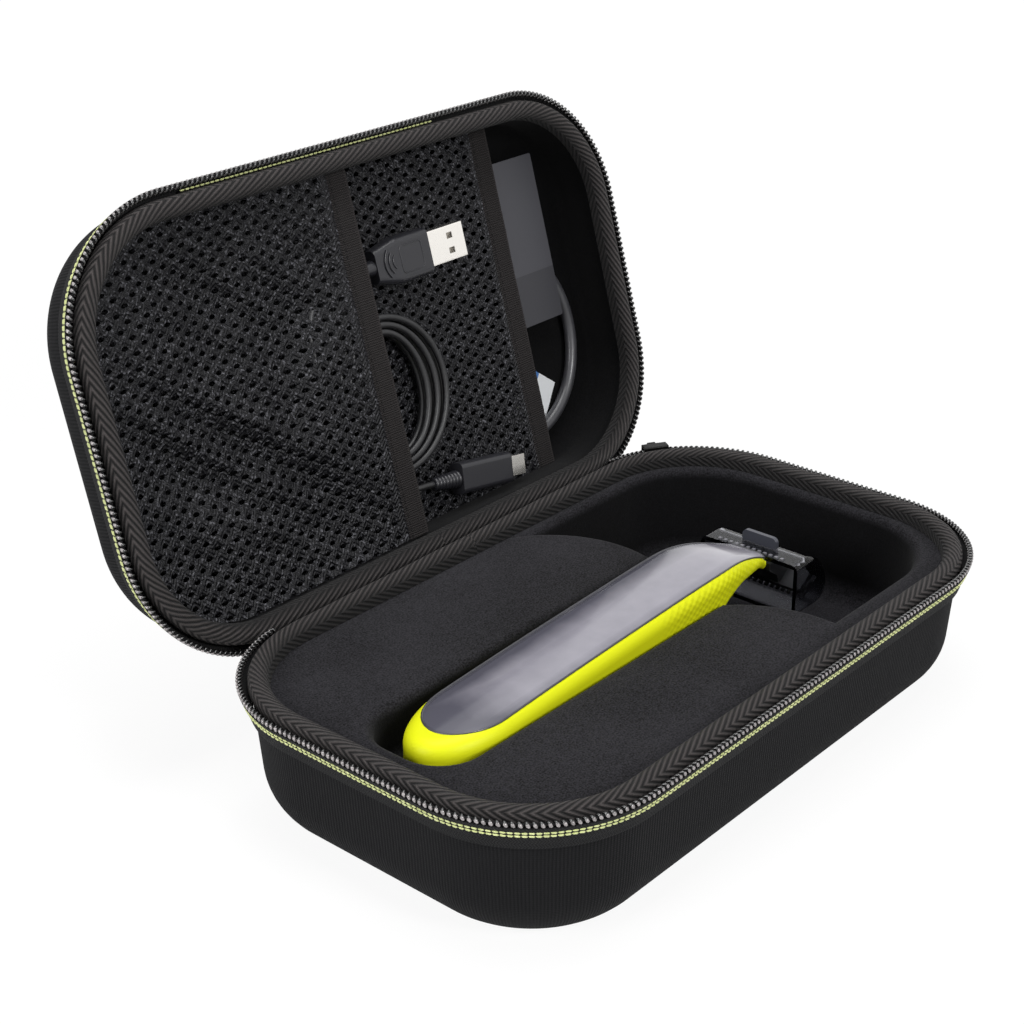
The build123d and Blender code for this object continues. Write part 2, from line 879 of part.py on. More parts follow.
elastic_band_front = band_strip(front_mesh_depth, front_band_left)
finish(elastic_band_front, "elastic_band_front")

elastic_band_rear = band_strip(rear_mesh_depth, rear_band_left)
finish(elastic_band_rear, "elastic_band_rear")

# ---------------------------------------------------------------------------
# What the lid pockets hold: a thin charging lead with its two plugs, a thicker
# lead, a card and a folded leaflet
# ---------------------------------------------------------------------------

usb_top_wall = 42.3
usb_out = case_width - usb_top_wall
usb_middle_depth = 10.4
usb_body_left = 7.0
usb_body_length = 24.4
usb_body_width = 15.4
usb_body_thickness = 6.8
usb_shell_width = 12.0
usb_shell_thickness = 4.5
usb_shell_length = 17.6
usb_shell_wall = 0.4
usb_neck_width = 11.1
usb_neck_thickness = 5.8
usb_shoulder = 9.8
usb_body_rounding = 2.2
usb_tongue_drop = 0.9
usb_tongue_thickness = 1.9
usb_tongue_short = 1.0
usb_window_from_body = 10.9
usb_window_length = 2.6
usb_window_width = 2.0
usb_window_pitch = 5.0
relief_length = 10.0
relief_flare = 1.4
relief_lip = 0.5
lead_radius = 1.15
micro_left = lid_point(12.0, 21.2, -10.4)
micro_tip = lid_point(56.3, 14.4, -10.4)
micro_axis = (micro_tip - micro_left).normalized()


def along_plane(start, axis, width_dir):
    """A section plane that looks along an axis from a start point."""
    return Plane(origin=start, x_dir=width_dir, z_dir=axis)


usb_start = lid_point(usb_body_left, usb_out, -usb_middle_depth)
usb_section = along_plane(usb_start, Vector(1, 0, 0), lid_rim.y_dir)
micro_section = along_plane(micro_left, micro_axis, lid_rim.z_dir.cross(micro_axis))

with BuildPart() as usb_plug_body:
    with BuildSketch(usb_section):
        RectangleRounded(usb_neck_width, usb_neck_thickness, usb_body_rounding)
    with BuildSketch(usb_section.offset(usb_shoulder)):
        RectangleRounded(usb_body_width, usb_body_thickness, usb_body_rounding)
    loft()
    with BuildSketch(usb_section.offset(usb_shoulder)):
        RectangleRounded(usb_body_width, usb_body_thickness, usb_body_rounding)
    extrude(amount=usb_body_length - usb_shoulder)
    with BuildSketch(usb_section):
        Circle(lead_radius + relief_flare)
    with BuildSketch(usb_section.offset(-relief_length)):
        Circle(lead_radius + relief_lip)
    loft()
finish(usb_plug_body, "usb_plug_body")

with BuildPart() as usb_plug_shell:
    with BuildSketch(usb_section.offset(usb_body_length)):
        RectangleRounded(usb_shell_width, usb_shell_thickness, 0.6)
        RectangleRounded(
            usb_shell_width - 2 * usb_shell_wall,
            usb_shell_thickness - 2 * usb_shell_wall,
            0.3,
            mode=Mode.SUBTRACT,
        )
    extrude(amount=usb_shell_length)
    with BuildSketch(usb_section.offset(usb_body_length)):
        with Locations((0, -usb_tongue_drop)):
            Rectangle(usb_shell_width - 2 * usb_shell_wall, usb_tongue_thickness)
    extrude(amount=usb_shell_length - usb_tongue_short)
    with BuildSketch(lid_rim.offset(-usb_middle_depth)):
        with Locations(
            (usb_body_left + usb_body_length + usb_window_from_body, usb_out - case_width / 2)
        ):
            with GridLocations(0, usb_window_pitch, 1, 2):
                Rectangle(usb_window_length, usb_window_width)
    extrude(amount=usb_shell_thickness, mode=Mode.SUBTRACT)
finish(usb_plug_shell, "usb_plug_shell")

micro_relief_length = 11.4
micro_relief_flare = 1.7
micro_ring_count = 4
micro_ring_width = 1.1
micro_body_length = 24.8
micro_body_width = 10.6
micro_body_thickness = 6.4
micro_tip_length = 8.0
micro_tip_width = 6.9
micro_tip_thickness = 1.9

with BuildPart() as micro_plug_relief:
    with BuildSketch(micro_section):
        Circle(lead_radius + relief_lip)
    with BuildSketch(micro_section.offset(micro_relief_length)):
        Circle(lead_radius + micro_relief_flare)
    loft()
    for ring in range(1, micro_ring_count + 1):
        share = ring / (micro_ring_count + 1)
        with BuildSketch(micro_section.offset(share * micro_relief_length)):
            Circle(lead_radius + relief_lip + share * micro_relief_flare)
        extrude(amount=micro_ring_width)
finish(micro_plug_relief, "micro_plug_relief")

with BuildPart() as micro_plug_body:
    with BuildSketch(micro_section.offset(micro_relief_length + band_gap)):
        RectangleRounded(micro_body_width, micro_body_thickness, 1.8)
    extrude(amount=micro_body_length)
    fillet(micro_plug_body.faces().sort_by(Axis(micro_left, micro_axis))[-1].edges(), 1.0)
finish(micro_plug_body, "micro_plug_body")

micro_tip_start = micro_relief_length + micro_body_length + 2 * band_gap
with BuildPart() as micro_plug_tip:
    with BuildSketch(micro_section.offset(micro_tip_start)):
        with BuildLine():
            Polyline(
                (-micro_tip_width / 2, micro_tip_thickness / 2),
                (micro_tip_width / 2, micro_tip_thickness / 2),
                (micro_tip_width / 2, -micro_tip_thickness / 6),
                (micro_tip_width / 2 - 0.9, -micro_tip_thickness / 2),
                (0.9 - micro_tip_width / 2, -micro_tip_thickness / 2),
                (-micro_tip_width / 2, -micro_tip_thickness / 6),
                close=True,
            )
        make_face()
    extrude(amount=micro_tip_length)
finish(micro_plug_tip, "micro_plug_tip")

# The wound middle of the thin lead, as the oval ring that its turns fill
coil_x = 1.0
coil_out = 55.5
coil_half_width = 27.0
coil_half_height = 27.5
coil_band = 10.0
coil_depth = 12.9
coil_thickness = 5.4

with BuildPart() as thin_lead_coil:
    with BuildSketch(lid_rim.offset(-coil_depth)):
        with Locations((coil_x, coil_out - case_width / 2)):
            Ellipse(coil_half_width, coil_half_height)
            Ellipse(coil_half_width - coil_band, coil_half_height - coil_band, mode=Mode.SUBTRACT)
    extrude(amount=coil_thickness)
finish(thin_lead_coil, "thin_lead_coil")


def lead_tube(route, radius):
    """A lead along straight runs joined by arcs about as large as its runs allow."""
    arc_share = 0.45
    corner_radii = []
    for before, corner, after in zip(route, route[1:], route[2:]):
        turn = (corner - before).get_angle(after - corner)
        shorter = min((corner - before).length, (after - corner).length)
        corner_radii.append(arc_share * shorter / tan(radians(turn / 2)))
    with BuildPart() as tube:
        with BuildLine() as path:
            FilletPolyline(*route, radius=corner_radii)
        start_plane = Plane(origin=route[0], z_dir=route[1] - route[0])
        with BuildSketch(start_plane):
            Circle(radius)
        sweep(path=path.wires()[0])
    return tube


usb_tail = lead_tube(
    [
        usb_section.from_local_coords((0, 0, -relief_length - band_gap)),
        lid_point(-13.0, 96.2, -10.4),
        lid_point(-21.5, 91.0, -10.4),
        lid_point(-24.0, 82.5, -10.4),
        lid_point(-21.0, 74.9, -10.4),
    ],
    lead_radius,
)
finish(usb_tail, "thin_lead_usb_end")

micro_tail = lead_tube(
    [
        micro_section.from_local_coords((0, 0, -band_gap)),
        lid_point(2.0, 22.8, -10.4),
        lid_point(-8.5, 21.6, -10.4),
        lid_point(-15.6, 26.2, -10.4),
        lid_point(-17.4, 34.0, -10.4),
    ],
    lead_radius,
)
finish(micro_tail, "thin_lead_micro_end")

thick_radius = 2.2
thick_depth = 18.6
thick_lead = lead_tube(
    [
        lid_point(47.0, 92.0, -thick_depth),
        lid_point(62.0, 92.6, -thick_depth),
        lid_point(78.0, 88.5, -thick_depth),
        lid_point(92.5, 79.0, -thick_depth),
        lid_point(101.6, 64.0, -thick_depth),
        lid_point(102.6, 46.5, -thick_depth),
        lid_point(95.5, 30.5, -thick_depth),
        lid_point(81.5, 20.5, -thick_depth),
        lid_point(65.0, 18.4, -thick_depth),
        lid_point(50.0, 22.0, -thick_depth),
    ],
    thick_radius,
)
finish(thick_lead, "thick_lead")


plug_end_width = 7.4
plug_end_thickness = 4.6
plug_end_rounding = 1.6
plug_end_length = 16.0
plug_pin_radius = 1.7
plug_pin_length = 7.0


def lead_end(start, towards, name):
    """A small moulded plug on the end of the thick lead."""
    axis = (towards - start).normalized()
    section = along_plane(start + axis * band_gap, axis, lid_rim.z_dir.cross(axis))
    with BuildPart() as plug:
        with BuildSketch(section):
            RectangleRounded(plug_end_width, plug_end_thickness, plug_end_rounding)
        extrude(amount=plug_end_length)
        with BuildSketch(section.offset(plug_end_length)):
            Circle(plug_pin_radius)
        extrude(amount=plug_pin_length)
    finish(plug, name)


thick_top_end = lid_point(47.0, 92.0, -thick_depth)
thick_low_end = lid_point(50.0, 22.0, -thick_depth)
lead_end(thick_top_end, lid_point(32.0, 91.4, -thick_depth), "thick_lead_plug_top")
lead_end(thick_low_end, lid_point(35.0, 25.6, -thick_depth), "thick_lead_plug_low")

card_width = 31.0
card_height = 58.6
card_top_wall = 22.5
card_middle_x = 81.5
card_depth = 15.9
card_thickness = 0.5
card_rounding = 0.8
leaflet_width = 18.0
leaflet_height = 22.0
leaflet_middle_x = 77.5
leaflet_middle_out = 30.5
leaflet_turn = -38
leaflet_depth = 21.4
leaflet_thickness = 0.4

with BuildPart() as card:
    with BuildSketch(lid_rim.offset(-card_depth)):
        with Locations((card_middle_x, case_width / 2 - card_top_wall - card_height / 2)):
            RectangleRounded(card_width, card_height, card_rounding)
    extrude(amount=card_thickness)
finish(card, "card")

with BuildPart() as leaflet:
    with BuildSketch(lid_rim.offset(-leaflet_depth)):
        with Locations(
            Location((leaflet_middle_x, leaflet_middle_out - case_width / 2), leaflet_turn)
        ):
            Rectangle(leaflet_width, leaflet_height)
    extrude(amount=leaflet_thickness)
finish(leaflet, "leaflet")
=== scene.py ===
from math import acos, atan2, copysign, cos, dist, exp, hypot, pi, radians, sin, tan

import bmesh
import bpy
from mathutils import Matrix, Vector, noise
from mathutils.geometry import interpolate_bezier


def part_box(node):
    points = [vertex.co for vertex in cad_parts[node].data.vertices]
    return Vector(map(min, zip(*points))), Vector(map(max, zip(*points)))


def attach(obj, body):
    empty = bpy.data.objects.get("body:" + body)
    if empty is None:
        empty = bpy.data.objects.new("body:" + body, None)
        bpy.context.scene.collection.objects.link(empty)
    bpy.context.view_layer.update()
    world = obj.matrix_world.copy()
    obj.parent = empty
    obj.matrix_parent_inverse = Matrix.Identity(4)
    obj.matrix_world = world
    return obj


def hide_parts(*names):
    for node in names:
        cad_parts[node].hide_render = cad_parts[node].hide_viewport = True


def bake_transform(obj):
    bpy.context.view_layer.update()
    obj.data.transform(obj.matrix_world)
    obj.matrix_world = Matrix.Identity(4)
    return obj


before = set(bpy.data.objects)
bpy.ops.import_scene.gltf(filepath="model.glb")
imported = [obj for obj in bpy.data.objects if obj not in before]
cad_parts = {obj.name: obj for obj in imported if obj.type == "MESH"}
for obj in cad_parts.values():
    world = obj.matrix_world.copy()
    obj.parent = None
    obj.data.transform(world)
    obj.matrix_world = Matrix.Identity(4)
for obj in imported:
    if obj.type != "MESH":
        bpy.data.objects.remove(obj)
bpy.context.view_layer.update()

# --------------------------------------
# Studio: a plain white floor under plain soft lamps, and the camera that looks
# down at the open case from its front left corner.
camera_place = Vector((-0.405334, -0.313484, 0.319378))
camera_aim = Vector((0.140140, 0.169570, -0.027090))
camera_roll = radians(-0.69)


def add_object(name, data):
    """An object in the scene that shows a mesh, a curve, a lamp or a camera."""
    thing = bpy.data.objects.new(name, data)
    bpy.context.scene.collection.objects.link(thing)
    return thing


camera_data = bpy.data.cameras.new("case_camera")
camera_data.lens = 67.10
camera_data.sensor_width = 36
camera_data.clip_start = 0.05
camera_data.clip_end = 20
camera = add_object("case_camera", camera_data)
camera_turn = (camera_aim - camera_place).to_track_quat("-Z", "Y").to_matrix()
camera.matrix_world = (
    Matrix.Translation(camera_place)
    @ camera_turn.to_4x4()
    @ Matrix.Rotation(camera_roll, 4, "Z")
)
bpy.context.scene.camera = camera
bpy.context.scene.view_settings.view_transform = "Standard"


def studio_lamp(name, place, aim, size, power):
    """A square soft box that shines from its place at a point."""
    data = bpy.data.lights.new(name, "AREA")
    data.shape = "SQUARE"
    data.size = size
    data.energy = power
    lamp = add_object(name, data)
    lamp.location = place
    lamp.rotation_euler = (Vector(aim) - Vector(place)).to_track_quat("-Z", "Y").to_euler()


studio_lamp("top_soft_box", (0.05, 0.0, 1.25), (0, 0, 0.05), 0.8, 9.5)
studio_lamp("left_soft_box", (-1.05, 0.1, 0.55), (0, 0.05, 0.05), 0.5, 6.5)
studio_lamp("front_soft_box", (-0.1, -1.25, 0.8), (0, 0, 0.05), 0.35, 9.5)


def add_node(tree, kind, inputs, operation=None):
    """A shader node whose inputs, by name or place, are values or other nodes' outputs."""
    node = tree.nodes.new("ShaderNode" + kind)
    if operation:
        node.operation = operation
    for name, value in inputs.items():
        if isinstance(value, bpy.types.NodeSocket):
            tree.links.new(value, node.inputs[name])
        else:
            node.inputs[name].default_value = value
    return node


world = bpy.data.worlds.new("white_studio")
bpy.context.scene.world = world
world.use_nodes = True
sky = world.node_tree
sky.nodes.clear()
sky_path = add_node(sky, "LightPath", {}).outputs
sky_seen = {0: sky_path["Is Camera Ray"], 1: sky_path["Is Glossy Ray"]}
sky_seen = add_node(sky, "Math", sky_seen, "MAXIMUM")
sky_ambient, sky_white = (
    add_node(sky, "Background", {"Color": (1, 1, 1, 1), "Strength": strength}).outputs[0]
    for strength in (0.14, 1.0)
)
sky_mix = add_node(sky, "MixShader", {0: sky_seen.outputs[0], 1: sky_ambient, 2: sky_white})
add_node(sky, "OutputWorld", {"Surface": sky_mix.outputs[0]})

floor_size = 6
floor_corners = [(-1, -1), (1, -1), (1, 1), (-1, 1)]
floor_mesh = bpy.data.meshes.new("studio_floor")
floor_mesh.from_pydata(
    [(x * floor_size, y * floor_size, 0) for x, y in floor_corners], [], [(0, 1, 2, 3)]
)
studio_floor = add_object("studio_floor", floor_mesh)
floor_paint = bpy.data.materials.new("white_floor")
floor_paint.use_nodes = True
floor_tree = floor_paint.node_tree
floor_tree.nodes.clear()
floor_matt = add_node(floor_tree, "BsdfDiffuse", {"Color": (0.9, 0.9, 0.9, 1)})
floor_spot = add_node(floor_tree, "TexCoord", {}).outputs["Object"]
floor_off = add_node(floor_tree, "VectorMath", {0: floor_spot}, "LENGTH").outputs["Value"]
floor_fade = {"Value": floor_off, "From Min": 0.45, "From Max": 1.6, "To Min": 1.05, "To Max": 1.17}
floor_fade = add_node(floor_tree, "MapRange", floor_fade).outputs["Result"]
floor_white = add_node(floor_tree, "Emission", {"Strength": floor_fade})
floor_seen = add_node(floor_tree, "LightPath", {}).outputs["Is Camera Ray"]
floor_share = add_node(floor_tree, "Math", {0: floor_seen, 1: 0.86}, "MULTIPLY").outputs[0]
floor_mix = {0: floor_share, 1: floor_matt.outputs[0], 2: floor_white.outputs[0]}
floor_mix = add_node(floor_tree, "MixShader", floor_mix)
add_node(floor_tree, "OutputMaterial", {"Surface": floor_mix.outputs[0]})
floor_mesh.materials.append(floor_paint)

# --------------------------------------
# Shells: the two halves are pressed from foam board faced with a fine ribbed
# knit. The knit is one sheet, so its ribs run round the sides and the floor is
# plain. Both halves share the rounded outline of the zip.
coil_width = 0.002
corner_radius = 0.0428
coil_low, coil_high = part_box("base_zip_coil")
half_length = (coil_high[0] - coil_low[0] - coil_width) / 2
half_width = 0.0694
base_height = 0.0454
lid_depth = 0.026
corner_x = half_length - corner_radius
corner_y = half_width - corner_radius
rim_perimeter = 4 * (corner_x + corner_y) + 2 * pi * corner_radius
wall_inset = 0.003
rim_rise = 0.001
wall_draft = radians(4)
open_angle = radians(105.2)
hinge_at = Vector((0, 0.0671, 0.0407))
closed_gap = 0.0048
cloth_on_board = 0.0012
wall_steps = 8
floor_steps = 14
shell_steps = 336

lid_turn = Matrix.Rotation(-open_angle, 3, "X")
lid_middle = hinge_at + lid_turn @ (Vector((0, 0, base_height + closed_gap)) - hinge_at)
base_frame = (Vector((0, 0, base_height)), Vector((0, 1, 0)), Vector((0, 0, 1)))
lid_frame = (lid_middle, lid_turn @ Vector((0, 1, 0)), lid_turn @ Vector((0, 0, -1)))


def rim_place(rim, across, towards_hinge, height):
    """A point of a half: along the case, towards the hinge, and out of its opening."""
    middle, hinge_way, open_way = rim
    return middle + Vector((across, 0, 0)) + hinge_way * towards_hinge + open_way * height


def rim_spot(run):
    """The zip line at a run from the middle of the hinge side, and the way out there."""
    run %= rim_perimeter
    x, y, turned = 0, corner_y, pi / 2
    for side in (corner_x, 2 * corner_y, 2 * corner_x, 2 * corner_y, corner_x):
        straight = min(run, side)
        x += sin(turned) * straight
        y -= cos(turned) * straight
        bend = min(run - straight, pi / 2 * corner_radius)
        turned -= bend / corner_radius
        run -= straight + bend
    out_x, out_y = cos(turned), sin(turned)
    return x + corner_radius * out_x, y + corner_radius * out_y, out_x, out_y


def rim_at(rim, run, out=0, height=0):
    """A point at a run round a rim, moved out of the zip line and up from it."""
    x, y, out_x, out_y = rim_spot(run)
    return rim_place(rim, x + out_x * out, y + out_y * out, height)


def grid(columns, rows, runs, spans=None, shut=True):
    """Faces between columns of points, and their corners on the cloth: runs along it
    and a span across it. With a column less than runs, the last meets the first."""
    faces, uvs = [], []
    spans = spans or [[0] * (rows + 1)] * columns
    for column in range(len(runs) - 1):
        after = (column + 1) % columns
        run, run_on = runs[column], runs[column + 1]
        near, far = column * rows, after * rows
        for row in range(rows if shut else rows - 1):
            up = (row + 1) % rows
            faces.append((near + row, far + row, far + up, near + up))
            low, high = spans[column][row : row + 2]
            low_on, high_on = spans[after][row : row + 2]
            uvs.append(((run, low), (run_on, low_on), (run_on, high_on), (run, high)))
    if shut and columns == len(runs):
        for end in (0, (columns - 1) * rows):
            faces.append(tuple(range(end, end + rows)))
            uvs.append(((0, 0),) * rows)
    return faces, uvs


def finish_mesh(name, finish, points, faces, face_uvs=None, sharp=40):
    """A mesh object with its normals facing out, smooth but for its sharp edges."""
    mesh = bpy.data.meshes.new(name)
    mesh.from_pydata([tuple(point) for point in points], [], faces)
    if face_uvs:
        layer = mesh.uv_layers.new(name="cloth")
        for face, uvs in zip(mesh.polygons, face_uvs):
            for loop, uv in zip(face.loop_indices, uvs):
                layer.data[loop].uv = uv
    shape = bmesh.new()
    shape.from_mesh(mesh)
    bmesh.ops.recalc_face_normals(shape, faces=shape.faces)
    shape.to_mesh(mesh)
    shape.free()
    for face in mesh.polygons:
        face.use_smooth = True
    mesh.set_sharp_from_angle(angle=radians(sharp))
    mesh.materials.append(finish.material)
    return add_object(name, mesh)


def thicken(piece, name, thickness, offset=0):
    """Gives a sheet its thickness."""
    layer = piece.modifiers.new(name, "SOLIDIFY")
    layer.thickness = thickness
    layer.offset = offset


def rim_sweep(name, finish, rim, profile, first, last, steps, shut=True, sharp=40):
    """A strip carried round a rim. The profile is (out, height) points, shut into a
    loop or left open, and may be a function of the run."""
    whole_ring = abs(last - first - rim_perimeter) < 1e-9
    columns = steps if whole_ring else steps + 1
    runs = [first + (last - first) * column / steps for column in range(steps + 1)]
    points, spans = [], []
    for run in runs[:columns]:
        section = profile(run) if callable(profile) else profile
        span = [0]
        for before, after in zip(section, section[1:] + section[:1]):
            span.append(span[-1] + dist(before, after))
        spans.append(span)
        points += [rim_at(rim, run, out, height) for out, height in section]
    faces, uvs = grid(columns, len(section), runs, spans, shut)
    return finish_mesh(name, finish, points, faces, uvs, sharp)


class Reading:
    """A number in a shader tree. Sums on it become the tree's math nodes."""

    def __init__(self, tree, socket):
        self.tree = tree
        self.socket = socket

    def step(self, operation, *others):
        values = [getattr(value, "socket", value) for value in (self, *others)]
        node = add_node(self.tree, "Math", dict(enumerate(values)), operation)
        return Reading(self.tree, node.outputs[0])

    def __add__(self, other):
        return self.step("ADD", other)

    def __sub__(self, other):
        return self.step("SUBTRACT", other)

    def __mul__(self, other):
        return self.step("MULTIPLY", other)

    def __truediv__(self, other):
        return self.step("DIVIDE", other)

    def wave(self):
        """A sine with one wave for each whole number."""
        return (self * (2 * pi)).step("SINE")

    def clamped(self):
        """The same number, held between 0 and 1."""
        self.socket.node.use_clamp = True
        return self


def speckle(tree, place, scale, detail=2.0):
    """Noise from 0 to 1 at a place."""
    node = add_node(tree, "TexNoise", {"Vector": place, "Scale": scale, "Detail": detail})
    return Reading(tree, node.outputs["Fac"])


def split(tree, vector):
    """The three parts of a vector."""
    return [Reading(tree, part) for part in add_node(tree, "SeparateXYZ", {0: vector}).outputs]


def new_group(name, sizes):
    """A shared node group that takes a place and sizes, with both as seen inside it."""
    group = bpy.data.node_groups.new(name, "ShaderNodeTree")
    group.interface.new_socket(name="Place", in_out="INPUT", socket_type="NodeSocketVector")
    for size, value in sizes.items():
        kind = {"in_out": "INPUT", "socket_type": "NodeSocketFloat"}
        group.interface.new_socket(name=size, **kind).default_value = value
    given = group.nodes.new("NodeGroupInput").outputs
    return group, given[0], {size: Reading(group, given[size]) for size in sizes}


def end_group(group, results):
    """Hands a group's readings out of it."""
    for name in results:
        group.interface.new_socket(name=name, in_out="OUTPUT", socket_type="NodeSocketFloat")
    end = group.nodes.new("NodeGroupOutput")
    for name, result in results.items():
        group.links.new(result.socket, end.inputs[name])


class Finish:
    """A material, with what its nodes can read and what its shader can be fed."""

    def __init__(self, name, colour, roughness, metallic=0.0, sheen=0.0, coat=0.0, gloss=0.5):
        self.material = bpy.data.materials.new(name)
        self.material.use_nodes = True
        self.material.diffuse_color = (*colour, 1)
        self.tree = self.material.node_tree
        self.shader = self.tree.nodes["Principled BSDF"].inputs
        values = {"Base Color": (*colour, 1), "Roughness": roughness, "Metallic": metallic}
        values |= {"Specular IOR Level": gloss, "Coat Weight": coat}
        values |= {"Sheen Weight": sheen, "Sheen Roughness": 0.45}
        for socket, value in values.items():
            self.shader[socket].default_value = value

    def place(self):
        """Where a point lies, as a vector."""
        return add_node(self.tree, "TexCoord", {}).outputs["Object"]

    def cloth(self):
        """Where a point lies on the flat cloth, as a vector."""
        source = add_node(self.tree, "UVMap", {})
        source.uv_map = "cloth"
        return source.outputs[0]

    def noise(self, scale, detail=2.0):
        return speckle(self.tree, self.place(), scale, detail)

    def weave(self, group, sizes, place=None):
        """A shared group set in this material with its own sizes. It gives its results."""
        placed = self.tree.nodes.new("ShaderNodeGroup")
        placed.node_tree = group
        for size, value in sizes.items():
            placed.inputs[size].default_value = value
        self.tree.links.new(self.cloth() if place is None else place, placed.inputs[0])
        return {result.name: Reading(self.tree, result) for result in placed.outputs}

    def paint(self, share, dark, pale):
        """Colours it from one colour to another by a reading."""
        mix = self.tree.nodes.new("ShaderNodeMix")
        mix.data_type = "RGBA"
        mix.inputs[6].default_value = (*dark, 1)
        mix.inputs[7].default_value = (*pale, 1)
        self.tree.links.new(share.socket, mix.inputs[0])
        self.tree.links.new(mix.outputs[2], self.shader["Base Color"])

    def wear(self, share):
        """Lets a reading set the roughness."""
        self.tree.links.new(share.socket, self.shader["Roughness"])

    def relief(self, height, depth):
        """Raises the surface by a reading from 0 to 1, at a real depth in metres."""
        bump = {"Distance": depth, "Strength": 1.0, "Height": height.socket}
        bump = add_node(self.tree, "Bump", bump)
        self.tree.links.new(bump.outputs["Normal"], self.shader["Normal"])


ribbed_knit, knit_place, knit = new_group(
    "ribbed_knit", {"Rib Pitch": 0.0011, "Course Pitch": 0.0008}
)
knit_along, knit_up, _ = split(ribbed_knit, knit_place)
knit_rib = (speckle(ribbed_knit, knit_place, 60.0) * 0.0006 + knit_along) / knit["Rib Pitch"]
knit_course = knit_up / knit["Course Pitch"]
knit_fuzz = speckle(ribbed_knit, knit_place, 1800.0, 4.0)
knit_height = knit_rib.wave() * 0.32 + 0.4 + knit_course.wave() * 0.1 + knit_fuzz * 0.2
knit_wear = speckle(ribbed_knit, knit_place, 25.0, 5.0)
end_group(ribbed_knit, {"Height": knit_height, "Wear": knit_wear})

shell_cloth = Finish("shell_knit", (0.010, 0.010, 0.011), 0.9, sheen=0.03, gloss=0.12)
shell_knit = shell_cloth.weave(ribbed_knit, {"Rib Pitch": 0.0011, "Course Pitch": 0.0007})
shell_tone = shell_knit["Wear"] * 0.35 + shell_knit["Height"]
shell_cloth.paint(shell_tone, (0.002, 0.002, 0.0023), (0.011, 0.011, 0.0122))
shell_cloth.relief(shell_knit["Height"], 0.00022)


def shell_profile(depth, floor_radius):
    """The outer wall of a half: drafted, then rounded into its floor."""
    tangent = tan(wall_draft)
    top = rim_rise * 0.6
    wall_end = -depth + floor_radius
    profile = []
    for step in range(wall_steps):
        height = top + (wall_end - top) * step / wall_steps
        profile.append((-wall_inset - (rim_rise - height) * tangent, height))
    centre = -wall_inset - (rim_rise - wall_end) * tangent - floor_radius / cos(wall_draft)
    for step in range(floor_steps + 1):
        angle = -wall_draft - (pi / 2 - wall_draft) * step / floor_steps
        across = centre + floor_radius * cos(angle)
        profile.append((across, wall_end + floor_radius * sin(angle)))
    return profile


def shell_cover(name, node, rim, depth, floor_radius, body):
    """The knit face of one half, with the flat of its floor closed."""
    profile = shell_profile(depth, floor_radius)
    cover = rim_sweep(
        name, shell_cloth, rim, profile, 0, rim_perimeter, shell_steps, shut=False, sharp=60
    )
    shape = bmesh.new()
    shape.from_mesh(cover.data)
    shape.verts.ensure_lookup_table()
    cloth = shape.loops.layers.uv["cloth"]
    last_row = len(profile) - 1
    floor_ring = [shape.verts[column * len(profile) + last_row] for column in range(shell_steps)]
    for loop in shape.faces.new(floor_ring).loops:
        loop[cloth].uv = (loop.vert.co.x, loop.vert.co.y)
    bmesh.ops.recalc_face_normals(shape, faces=shape.faces)
    shape.to_mesh(cover.data)
    shape.free()
    for face in cover.data.polygons:
        face.use_smooth = True
    thicken(cover, "cloth_on_board", cloth_on_board, -1)
    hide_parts(node)
    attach(cover, body)


shell_cover("base_knit_cover", "base_shell", base_frame, base_height, 0.019, "base")
shell_cover("lid_knit_cover", "lid_shell", lid_frame, lid_depth, 0.012, "lid")

# --------------------------------------
# Linings and tray: brushed felt bonded inside each shell, and a foam tray
# pressed to shape with the same felt on it. The nap scatters light softly.
brushed_felt, felt_place, _ = new_group("brushed_felt", {})
felt_fine = speckle(brushed_felt, felt_place, 2600.0, 5.0)
felt_patch = speckle(brushed_felt, felt_place, 380.0, 4.0)
felt_broad = speckle(brushed_felt, felt_place, 28.0, 3.0)
felt_speck = speckle(brushed_felt, felt_place, 1900.0)
felt_nap = felt_broad * 0.9 + -1.45 + felt_patch * 0.5 + felt_speck * 2.6
end_group(brushed_felt, {"Height": felt_patch * 0.5 + felt_fine, "Nap": felt_nap})


def felt_finish(name, dark, pale, depth):
    """Felt whose colour has painted shade: darker on steep walls, the more a face turns from up."""
    felt = Finish(name, pale, 0.95, sheen=0.04, gloss=0.1)
    fleece = felt.weave(brushed_felt, {}, felt.place())
    # Painted shade: the nap's colour is scaled from 0.95 on upward faces to 0.1 on walls and 0
    # facing down.
    facing = add_node(felt.tree, "NewGeometry", {}).outputs["Normal"]
    painted_top_light = (split(felt.tree, facing)[2] * 0.85 + 0.1).clamped()
    felt.paint(fleece["Nap"] * painted_top_light, dark, pale)
    felt.relief(fleece["Height"], depth)
    return felt


def dress(node, *finishes):
    """Gives a CAD node its finishes."""
    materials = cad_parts[node].data.materials
    materials.clear()
    for finish in finishes:
        materials.append(finish.material)


lining_felt = felt_finish("lining_felt", (0.002, 0.002, 0.0022), (0.007, 0.007, 0.0077), 0.0001)
tray_felt = felt_finish("tray_felt", (0.003, 0.003, 0.0033), (0.033, 0.032, 0.037), 0.00016)
dress("base_lining", lining_felt)
dress("lid_lining", lining_felt)
dress("tray", tray_felt)

